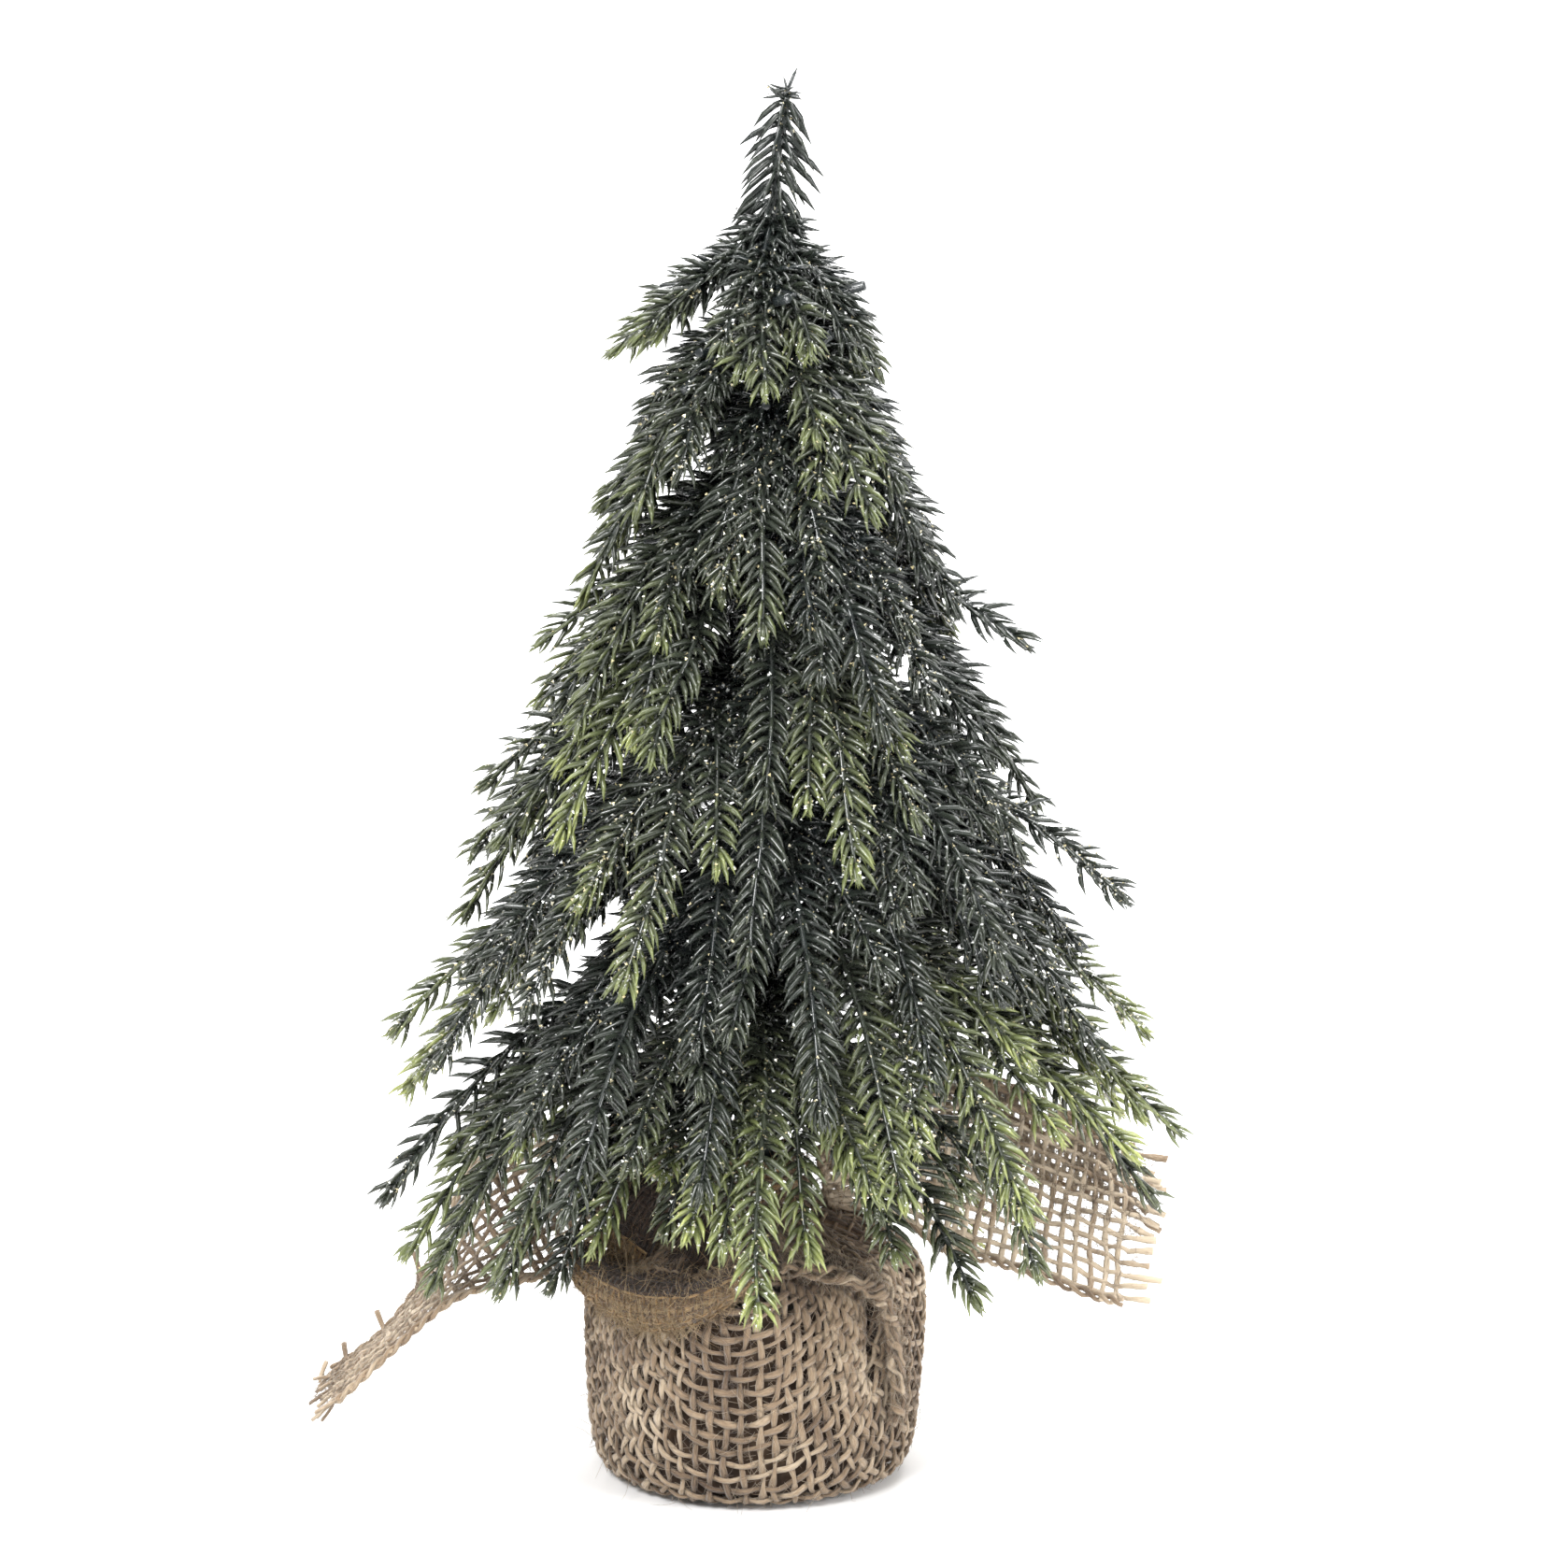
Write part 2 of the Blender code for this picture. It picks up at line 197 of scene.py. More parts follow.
class Heap:
    """Many small shapes gathered into the one mesh of a piece, each point with its tone."""

    def __init__(self) -> None:
        """Starts empty."""
        self.points: list[Points] = []
        self.faces: list[Numbers] = []
        self.tones: list[Numbers] = []
        self.corners: list[Numbers] = []
        self.count = 0

    def put(self, points: Points, faces: Numbers, tones: Numbers | float = 0.0,
            corners: Numbers | None = None) -> None:
        """Adds shapes.

        Args:
            points: (n, 3) places in millimetres.
            faces: (m, 3) triangles on those points.
            tones: one number a point, or one for all.
            corners: (m, 3, 2) places on the UV map.
        """
        self.points.append(points)
        self.faces.append(faces + self.count)
        self.tones.append(np.broadcast_to(np.asarray(tones, float), (len(points),)))
        self.corners.append(np.zeros((len(faces), 3, 2)) if corners is None else corners)
        self.count += len(points)

    def piece(self, name: str, finish: bpy.types.Material, smooth: bool = True) -> bpy.types.Object:
        """Makes the piece.

        Args:
            name: its name.
            finish: its material.
            smooth: shades it smooth. Flakes stay flat, so that each flashes as one.

        Returns:
            The new object, at the origin, with its place in its mesh.
        """
        points = np.concatenate(self.points) * MM
        faces = np.concatenate(self.faces)
        mesh = bpy.data.meshes.new(name)
        mesh.vertices.add(len(points))
        mesh.vertices.foreach_set("co", points.astype(np.float32).ravel())
        mesh.loops.add(faces.size)
        mesh.loops.foreach_set("vertex_index", faces.astype(np.int32).ravel())
        mesh.polygons.add(len(faces))
        mesh.polygons.foreach_set("loop_start", np.arange(0, faces.size, 3, dtype=np.int32))
        mesh.update(calc_edges=True)
        tone = mesh.attributes.new("tone", "FLOAT", "POINT")
        tone.data.foreach_set("value", np.concatenate(self.tones).astype(np.float32))
        layer = mesh.uv_layers.new(name="UVMap")
        layer.data.foreach_set("uv", np.concatenate(self.corners).astype(np.float32).ravel())
        if smooth:
            mesh.shade_smooth()
        else:
            mesh.shade_flat()
        mesh.materials.append(finish)
        made = bpy.data.objects.new(name, mesh)
        bpy.context.scene.collection.objects.link(made)
        LOG.info("%s: %d triangles", name, len(faces))
        return made


def tubes(heap: Heap, paths: Points, outward: Points, widths: Numbers, heights: Numbers,
          tones: Numbers | float = 0.5, sides: int = 5, shift: float = 0.0) -> None:
    """Adds closed tubes that all have the same number of stations.

    Args:
        heap: takes the tubes.
        paths: (k, n, 3) middles of the stations.
        outward: (k, n, 3), or what spreads to it, directions of each section's height.
        widths: (k, n), or what spreads to it, half of the section across outward.
        heights: the same along outward.
        tones: (k,), or one number.
        sides: corners of the section.
        shift: where on the UV map, so that tubes differ.
    """
    k, n, _ = paths.shape
    ahead = unit(np.gradient(paths, axis=1))
    across = unit(np.cross(ahead, np.broadcast_to(outward, paths.shape)))
    rise = np.cross(across, ahead)
    wide = np.broadcast_to(widths, (k, n))[:, :, None, None]
    high = np.broadcast_to(heights, (k, n))[:, :, None, None]
    turn = math.pi / 2 - np.arange(sides) * (2 * math.pi / sides)
    ring = (np.cos(turn)[:, None] * across[:, :, None] * wide
            + np.sin(turn)[:, None] * rise[:, :, None] * high)
    skin = (paths[:, :, None] + ring).reshape(k, n * sides, 3)
    points = np.concatenate([skin, paths[:, :1], paths[:, -1:]], axis=1)
    i, j = np.meshgrid(np.arange(n - 1), np.arange(sides), indexing="ij")
    here, beside = i * sides + j, i * sides + (j + 1) % sides
    lower = np.stack([here, beside, here + sides], axis=-1).reshape(-1, 3)
    upper = np.stack([beside, beside + sides, here + sides], axis=-1).reshape(-1, 3)
    edge = np.arange(sides)
    first = np.stack([edge * 0 + n * sides, (edge + 1) % sides, edge], axis=-1)
    last = np.stack([edge * 0 + n * sides + 1, edge + (n - 1) * sides,
                     (edge + 1) % sides + (n - 1) * sides], axis=-1)
    faces = np.concatenate([lower, upper, first, last])
    run = np.concatenate([np.zeros((k, 1)), np.cumsum(
        np.linalg.norm(np.diff(paths, axis=1), axis=2), axis=1)], axis=1) + shift
    around = np.stack([j / sides, (j + 1) / sides], axis=-1).reshape(-1, 2)
    at = i.ravel()
    s0, s1 = run[:, at], run[:, at + 1]
    left = np.broadcast_to(around[:, 0], s0.shape)
    right = np.broadcast_to(around[:, 1], s0.shape)
    low_uv = np.stack([np.stack([left, s0], -1), np.stack([right, s0], -1),
                       np.stack([left, s1], -1)], axis=2)
    high_uv = np.stack([np.stack([right, s0], -1), np.stack([right, s1], -1),
                        np.stack([left, s1], -1)], axis=2)
    cap_uv = np.zeros((k, 2 * sides, 3, 2)) + run[:, :1, None, None]
    corners = np.concatenate([low_uv, high_uv, cap_uv], axis=1)
    every = (faces[None] + (np.arange(k) * (n * sides + 2))[:, None, None]).reshape(-1, 3)
    spread = np.repeat(np.broadcast_to(np.asarray(tones, float), (k,)), n * sides + 2)
    heap.put(points.reshape(-1, 3), every, spread, corners.reshape(-1, 3, 2))


def shell(heap: Heap, grid: Points, thickness: float, tones: Numbers | float = 0.5,
          ring: bool = False) -> Points:
    """Adds a sheet of cloth with its thickness as one closed skin.

    Args:
        heap: takes the sheet.
        grid: (nu, nv, 3) points on its outer face, facing out where u cross v points out.
        thickness: how far the inner face lies behind.
        tones: (nu, nv), or one number.
        ring: the last row of u joins the first.

    Returns:
        (nu, nv, 3) outward normals.
    """
    nu, nv, _ = grid.shape
    if ring:
        round_u = np.concatenate([grid[-1:], grid, grid[:1]])
        du = (round_u[2:] - round_u[:-2]) / 2
    else:
        du = np.gradient(grid, axis=0)
    normal = unit(np.cross(du, np.gradient(grid, axis=1)))
    points = np.concatenate([grid.reshape(-1, 3), (grid - normal * thickness).reshape(-1, 3)])
    last_u = nu if ring else nu - 1
    i, j = (g.ravel() for g in np.meshgrid(np.arange(last_u), np.arange(nv - 1), indexing="ij"))
    a, b = i * nv + j, ((i + 1) % nu) * nv + j
    outer = np.concatenate([np.stack([a, b, b + 1], -1), np.stack([a, b + 1, a + 1], -1)])
    inner = outer[:, ::-1] + nu * nv
    step_u = np.linalg.norm(du, axis=2).mean()
    step_v = np.linalg.norm(np.gradient(grid, axis=1), axis=2).mean()
    flat = np.stack([np.stack([i, j], -1), np.stack([i + 1, j], -1), np.stack([i + 1, j + 1], -1),
                     np.stack([i, j + 1], -1)], axis=1) * np.array((step_u, step_v))
    uv = np.concatenate([flat[:, [0, 1, 2]], flat[:, [0, 2, 3]]])
    rims = []
    for line in (np.arange(last_u), None):
        if line is not None:
            p, q = line * nv, ((line + 1) % nu) * nv
            rims += [(q, p), (p + nv - 1, q + nv - 1)]
        elif not ring:
            v = np.arange(nv - 1)
            rims += [(v, v + 1), ((nu - 1) * nv + v + 1, (nu - 1) * nv + v)]
    edges = [np.concatenate([np.stack([p, q, q + nu * nv], -1)[:, ::-1],
                             np.stack([p, q + nu * nv, p + nu * nv], -1)[:, ::-1]])
             for p, q in rims]
    rim = np.concatenate(edges)[:, ::-1]
    tone = np.broadcast_to(np.asarray(tones, float), (nu, nv)).ravel()
    heap.put(points, np.concatenate([outer, inner, rim]), np.concatenate([tone, tone]),
             np.concatenate([uv, uv[:, ::-1], np.zeros((len(rim), 3, 2))]))
    return normal


@dataclass
class Mould:
    """A small shape that is modelled once, as numbers ready to copy."""

    points: Points
    faces: Numbers

    @classmethod
    def taken_from(cls, obj: bpy.types.Object) -> "Mould":
        """Reads a modelled object and removes it.

        Args:
            obj: the object, at the origin.

        Returns:
            Its points in millimetres and its triangles.
        """
        mesh = obj.data
        mesh.calc_loop_triangles()
        points = np.array([v.co for v in mesh.vertices]) / MM
        faces = np.array([t.vertices for t in mesh.loop_triangles])
        bpy.data.objects.remove(obj)
        return cls(points, faces)

    def copies(self, heap: Heap, origins: Points, axes: Points, tones: Numbers) -> None:
        """Adds copies.

        Args:
            heap: takes them.
            origins: (k, 3) where the mould's origin goes.
            axes: (k, 3, 3) where its x, y and z go, with their scale.
            tones: (k, points) tone of every point.
        """
        k, n = len(origins), len(self.points)
        points = origins[:, None] + np.einsum("nc,kcd->knd", self.points, axes)
        faces = self.faces[None] + (np.arange(k) * n)[:, None, None]
        heap.put(points.reshape(-1, 3), faces.reshape(-1, 3), tones.ravel())


# --- finishes ----------------------------------------------------------------------------------------

@dataclass(frozen=True)
class Finish:
    """What every finish starts from: a Principled shader with its even values set on it."""

    name: str
    roughness: float = 0.5
    metallic: float = 0.0
    ior: float = 1.5
    sheen: float = 0.0

    def start(self) -> tuple[bpy.types.Material, bpy.types.NodeTree, bpy.types.Node]:
        """Makes the material.

        Returns:
            The material, its node tree and its Principled shader.
        """
        made = bpy.data.materials.new(self.name)
        made.use_nodes = True
        tree = made.node_tree
        shader = tree.nodes["Principled BSDF"]
        shader.inputs["Roughness"].default_value = self.roughness
        shader.inputs["Metallic"].default_value = self.metallic
        shader.inputs["Sheen Weight"].default_value = self.sheen
        if not self.metallic:
            shader.inputs["IOR"].default_value = self.ior
        return made, tree, shader


@dataclass(frozen=True)
class MouldedPolyethylene(Finish):
    """Injection-moulded polyethylene: waxy, half glossy, so each needle carries a streak of light.

    Tone 0 is the dark blue-green of the inner needles and 1 the lime of the youngest tips.
    """

    name: str = "moulded_polyethylene"
    roughness: float = 0.33
    ior: float = 1.51
    skin: float = 0.38
    gloss: tuple[float, float] = (0.14, 0.38)
    dark: str = "#1B2122"
    fir: str = "#353A2E"
    olive: str = "#656D42"
    lime: str = "#9CA35E"

    def make(self) -> bpy.types.Material:
        """Colour by tone, mottled over about 6 mm, with a faint ripple of the mould in the gloss.

        Returns:
            The material.
        """
        made, tree, shader = self.start()
        shader.inputs["Coat Weight"].default_value = self.skin
        shader.inputs["Coat Roughness"].default_value = 0.08
        tone = add(tree, "ShaderNodeAttribute", attribute_name="tone")
        place = add(tree, "ShaderNodeTexCoord")
        mottle = add(tree, "ShaderNodeTexNoise", {"Vector": place.outputs["Object"], "Scale": 160,
                                                   "Detail": 2})
        mixed = add(tree, "ShaderNodeMath", {0: mottle.outputs["Fac"], 1: 0.26, 2: -0.13},
                    operation="MULTIPLY_ADD")
        total = add(tree, "ShaderNodeMath", {0: mixed.outputs[0], 1: tone.outputs["Fac"]}, operation="ADD")
        ramp = add(tree, "ShaderNodeValToRGB", {"Fac": total.outputs[0]}, stops=(
            (0.0, self.dark), (0.3, self.fir), (0.62, self.olive), (1.0, self.lime)))
        tree.links.new(ramp.outputs["Color"], shader.inputs["Base Color"])
        grain = add(tree, "ShaderNodeTexNoise", {"Vector": place.outputs["Object"], "Scale": 900,
                                                  "Detail": 2})
        gloss = add(tree, "ShaderNodeMapRange", {"Value": grain.outputs["Fac"],
                                                 "To Min": self.gloss[0], "To Max": self.gloss[1]})
        tree.links.new(gloss.outputs["Result"], shader.inputs["Roughness"])
        bump = add(tree, "ShaderNodeBump", {"Height": grain.outputs["Fac"], "Strength": 0.25,
                                            "Distance": 0.00008})
        tree.links.new(bump.outputs["Normal"], shader.inputs["Normal"])
        return made


class Glint(Enum):
    """Colours of the glitter, which is cut from aluminised film."""

    SILVER = ("glitter_silver", "#F2F4F2")
    GOLD = ("glitter_pale_gold", "#EADBA8")


@dataclass(frozen=True)
class GlitterFilm(Finish):
    """Aluminised polyester film: mirror-like flakes that flash white or pale gold one at a time."""

    roughness: float = 0.32
    metallic: float = 0.6
    dull: str = "#C9CAC4"
    colour: str = "#DDE0DC"

    def make(self) -> bpy.types.Material:
        """One bright metal, a little darker from flake to flake.

        Returns:
            The material.
        """
        made, tree, shader = self.start()
        tone = add(tree, "ShaderNodeAttribute", attribute_name="tone")
        ramp = add(tree, "ShaderNodeValToRGB", {"Fac": tone.outputs["Fac"]}, stops=(
            (0.0, self.dull), (1.0, self.colour)))
        tree.links.new(ramp.outputs["Color"], shader.inputs["Base Color"])
        return made


@dataclass(frozen=True)
class JuteYarn(Finish):
    """Single-ply jute yarn: matt, streaked lengthwise by twisted fibres, paler where they catch light."""

    name: str = "jute_yarn"
    roughness: float = 0.9
    sheen: float = 0.25
    deep: str = "#4C3A2A"
    mid: str = "#8E7961"
    pale: str = "#C3B29A"

    def make(self) -> bpy.types.Material:
        """Streaks twisted round the yarn, over its UV map: turns across, millimetres along.

        Returns:
            The material.
        """
        made, tree, shader = self.start()
        tone = add(tree, "ShaderNodeAttribute", attribute_name="tone")
        flat = add(tree, "ShaderNodeUVMap", uv_map="UVMap")
        lean = add(tree, "ShaderNodeMapping", {"Vector": flat.outputs["UV"], "Scale": (9.0, 0.35, 1.0),
                                                "Rotation": (0, 0, 0.25)})
        streak = add(tree, "ShaderNodeTexNoise", {"Vector": lean.outputs["Vector"], "Scale": 1.6, "Detail": 5,
                                                   "Roughness": 0.6})
        place = add(tree, "ShaderNodeTexCoord")
        patch = add(tree, "ShaderNodeTexNoise", {"Vector": place.outputs["Object"], "Scale": 70, "Detail": 3})
        both = add(tree, "ShaderNodeMath", {0: streak.outputs["Fac"], 1: patch.outputs["Fac"]},
                   operation="ADD")
        total = add(tree, "ShaderNodeMath", {0: both.outputs[0], 1: tone.outputs["Fac"]}, operation="ADD")
        share = add(tree, "ShaderNodeMapRange", {"Value": total.outputs[0], "From Min": 1.05,
                                                 "From Max": 1.98})
        ramp = add(tree, "ShaderNodeValToRGB", {"Fac": share.outputs["Result"]}, stops=(
            (0.0, self.deep), (0.5, self.mid), (1.0, self.pale)))
        tree.links.new(ramp.outputs["Color"], shader.inputs["Base Color"])
        bump = add(tree, "ShaderNodeBump", {"Height": streak.outputs["Fac"], "Strength": 0.9,
                                            "Distance": 0.0004})
        tree.links.new(bump.outputs["Normal"], shader.inputs["Normal"])
        return made


@dataclass(frozen=True)
class JuteCloth(Finish):
    """Jute hessian seen as cloth, where it is gathered too tightly for its holes to show."""

    name: str = "jute_hessian"
    roughness: float = 0.95
    sheen: float = 0.3
    pitch: float = 3.0
    deep: str = "#3B2A1C"
    mid: str = "#7C6142"
    pale: str = "#A88C66"

    def make(self) -> bpy.types.Material:
        """Crossing yarns at their pitch over the UV map, which is in millimetres, under a felt of fibres.

        Returns:
            The material.
        """
        made, tree, shader = self.start()
        tone = add(tree, "ShaderNodeAttribute", attribute_name="tone")
        flat = add(tree, "ShaderNodeUVMap", uv_map="UVMap")
        sway = add(tree, "ShaderNodeTexNoise", {"Vector": flat.outputs["UV"], "Scale": 0.25, "Detail": 2})
        moved = add(tree, "ShaderNodeVectorMath", {0: flat.outputs["UV"], 1: sway.outputs["Color"]},
                    operation="ADD")
        frequency = 2 * math.pi / self.pitch / 20
        warp = add(tree, "ShaderNodeTexWave", {"Vector": moved.outputs[0], "Scale": frequency},
                   wave_type="BANDS", bands_direction="X")
        weft = add(tree, "ShaderNodeTexWave", {"Vector": moved.outputs[0], "Scale": frequency},
                   wave_type="BANDS", bands_direction="Y")
        weave = add(tree, "ShaderNodeMath", {0: warp.outputs["Fac"], 1: weft.outputs["Fac"]},
                    operation="MAXIMUM")
        felt = add(tree, "ShaderNodeTexNoise", {"Vector": flat.outputs["UV"], "Scale": 1.8, "Detail": 6,
                                                 "Roughness": 0.7, "Distortion": 1.2})
        height = add(tree, "ShaderNodeMath", {0: weave.outputs[0], 1: felt.outputs["Fac"]}, operation="ADD")
        total = add(tree, "ShaderNodeMath", {0: height.outputs[0], 1: tone.outputs["Fac"]}, operation="ADD")
        share = add(tree, "ShaderNodeMapRange", {"Value": total.outputs[0], "From Min": 0.9, "From Max": 2.3})
        ramp = add(tree, "ShaderNodeValToRGB", {"Fac": share.outputs["Result"]}, stops=(
            (0.0, self.deep), (0.55, self.mid), (1.0, self.pale)))
        tree.links.new(ramp.outputs["Color"], shader.inputs["Base Color"])
        bump = add(tree, "ShaderNodeBump", {"Height": height.outputs[0], "Strength": 1.0, "Distance": 0.0007})
        tree.links.new(bump.outputs["Normal"], shader.inputs["Normal"])
        return made


@dataclass(frozen=True)
class Mottled(Finish):
    """A finish of two near colours in a mottle, with a grain in its surface."""

    dark: str = "#000000"
    light: str = "#FFFFFF"
    mottle: float = 150.0
    grain: float = 900.0
    depth: float = 0.0002
    stretch: tuple[float, float, float] = (1.0, 1.0, 1.0)

    def make(self) -> bpy.types.Material:
        """Mottle for the colour and grain for the bump, both on Object coordinates.

        Returns:
            The material.
        """
        made, tree, shader = self.start()
        place = add(tree, "ShaderNodeTexCoord")
        drawn = add(tree, "ShaderNodeMapping", {"Vector": place.outputs["Object"], "Scale": self.stretch})
        patch = add(tree, "ShaderNodeTexNoise", {"Vector": drawn.outputs["Vector"], "Scale": self.mottle,
                                                  "Detail": 4})
        ramp = add(tree, "ShaderNodeValToRGB", {"Fac": patch.outputs["Fac"]}, stops=(
            (0.3, self.dark), (0.7, self.light)))
        tree.links.new(ramp.outputs["Color"], shader.inputs["Base Color"])
        fine = add(tree, "ShaderNodeTexNoise", {"Vector": drawn.outputs["Vector"], "Scale": self.grain,
                                                 "Detail": 3})
        bump = add(tree, "ShaderNodeBump", {"Height": fine.outputs["Fac"], "Strength": 0.6,
                                            "Distance": self.depth})
        tree.links.new(bump.outputs["Normal"], shader.inputs["Normal"])
        return made


@dataclass(frozen=True)
class FloralTape(Finish):
    """Waxed crepe paper tape, wound up the trunk in a spiral: nearly black green, with crinkled edges."""

    name: str = "waxed_floral_tape"
    roughness: float = 0.55
    lap: float = 7.0
    dark: str = "#0B1110"
    light: str = "#20302B"

    def make(self) -> bpy.types.Material:
        """Laps every few millimetres up the trunk, slanted by its leaning coordinate, and fine crinkles.

        Returns:
            The material.
        """
        made, tree, shader = self.start()
        place = add(tree, "ShaderNodeTexCoord")
        slant = add(tree, "ShaderNodeMapping", {"Vector": place.outputs["Object"],
                                                "Rotation": (0.0, 0.35, 0.0)})
        laps = add(tree, "ShaderNodeTexWave", {"Vector": slant.outputs["Vector"],
                                               "Scale": 1 / (self.lap * MM) * 2 * math.pi / 20,
                                               "Distortion": 1.0, "Detail": 2}, wave_type="BANDS",
                   bands_direction="Z", wave_profile="SAW")
        crinkle = add(tree, "ShaderNodeTexNoise", {"Vector": place.outputs["Object"], "Scale": 1200,
                                                    "Detail": 3})
        height = add(tree, "ShaderNodeMath", {0: crinkle.outputs["Fac"], 1: 0.4, 2: laps.outputs["Fac"]},
                     operation="MULTIPLY_ADD")
        ramp = add(tree, "ShaderNodeValToRGB", {"Fac": height.outputs[0]}, stops=(
            (0.1, self.dark), (0.9, self.light)))
        tree.links.new(ramp.outputs["Color"], shader.inputs["Base Color"])
        bump = add(tree, "ShaderNodeBump", {"Height": height.outputs[0], "Strength": 0.8, "Distance": 0.0004})
        tree.links.new(bump.outputs["Normal"], shader.inputs["Normal"])
        return made


# --- fir ---------------------------------------------------------------------------------------------

@dataclass
class NeedleMould:
    """One needle: four-sided, widest before its middle, and curved towards the sprig's tip."""

    width: float = 1.46
    thickness: float = 0.86
    length: float = NEEDLE_LENGTH
    stations: Rows = ((0.28, 1.3, 0.45), (0.66, 0.92, 1.9), (1.0, 0.45, 4.1))

    def build(self) -> Mould:
        """Extrudes the section along Z, bending towards +X, and draws the end to a point.

        Returns:
            The shape, ready to copy.
        """
        bpy.ops.object.select_all(action="DESELECT")
        bpy.ops.mesh.primitive_circle_add(vertices=4, radius=self.width / 2 * 0.8 * MM, fill_type="NGON",
                                          location=(0, 0, 0))
        obj = bpy.context.object
        bpy.ops.object.mode_set(mode="EDIT")
        bpy.ops.mesh.select_all(action="SELECT")
        bpy.ops.transform.resize(value=(1, self.thickness / self.width, 1), center_override=(0, 0, 0))
        last = (0.0, 0.0)
        for share, girth, bend in self.stations:
            place = (bend * MM, share * self.length * MM)
            bpy.ops.mesh.extrude_region_move(TRANSFORM_OT_translate={
                "value": (place[0] - last[0], 0, place[1] - last[1])})
            bpy.ops.transform.resize(value=(girth, girth, 1), center_override=(place[0], 0, place[1]))
            last = place
        bpy.ops.mesh.merge(type="CENTER")
        bpy.ops.mesh.select_all(action="SELECT")
        bpy.ops.mesh.normals_make_consistent(inside=False)
        bpy.ops.object.mode_set(mode="OBJECT")
        return Mould.taken_from(obj)


@dataclass
class FlakeMould:
    """One glitter flake: a thin closed chip with three corners."""

    size: float = 0.86

    def build(self) -> Mould:
        """Makes a very low cone on a three-sided foot.

        Returns:
            The shape, ready to copy.
        """
        bpy.ops.object.select_all(action="DESELECT")
        bpy.ops.mesh.primitive_cone_add(vertices=3, radius1=self.size / 2 * MM, radius2=0,
                                        depth=self.size * 0.25 * MM, location=(0, 0, 0))
        return Mould.taken_from(bpy.context.object)


@dataclass
class StubMould:
    """The round end of a sprue, left where a spray was cut from its moulding tree."""

    radius: float = 1.12
    length: float = 7.2

    def build(self) -> Mould:
        """Stands a rod on the origin and rounds its edges over.

        Returns:
            The shape, ready to copy.
        """
        bpy.ops.object.select_all(action="DESELECT")
        bpy.ops.mesh.primitive_cylinder_add(vertices=10, radius=self.radius * MM, depth=self.length * MM,
                                            location=(0, 0, 0))
        obj = bpy.context.object
        bpy.ops.object.mode_set(mode="EDIT")
        bpy.ops.mesh.select_all(action="SELECT")
        bpy.ops.transform.translate(value=(0, 0, self.length / 2 * MM))
        bpy.ops.mesh.bevel(offset=0.4 * self.radius * MM, segments=2, clamp_overlap=True)
        bpy.ops.object.mode_set(mode="OBJECT")
        return Mould.taken_from(obj)


class Growth(Enum):
    """How green a spray is: share of lime in its needles near the trunk, and at its tips."""

    OLD = (0.0, 0.3)
    FIR = (0.1, 0.68)
    YOUNG = (0.28, 0.9)


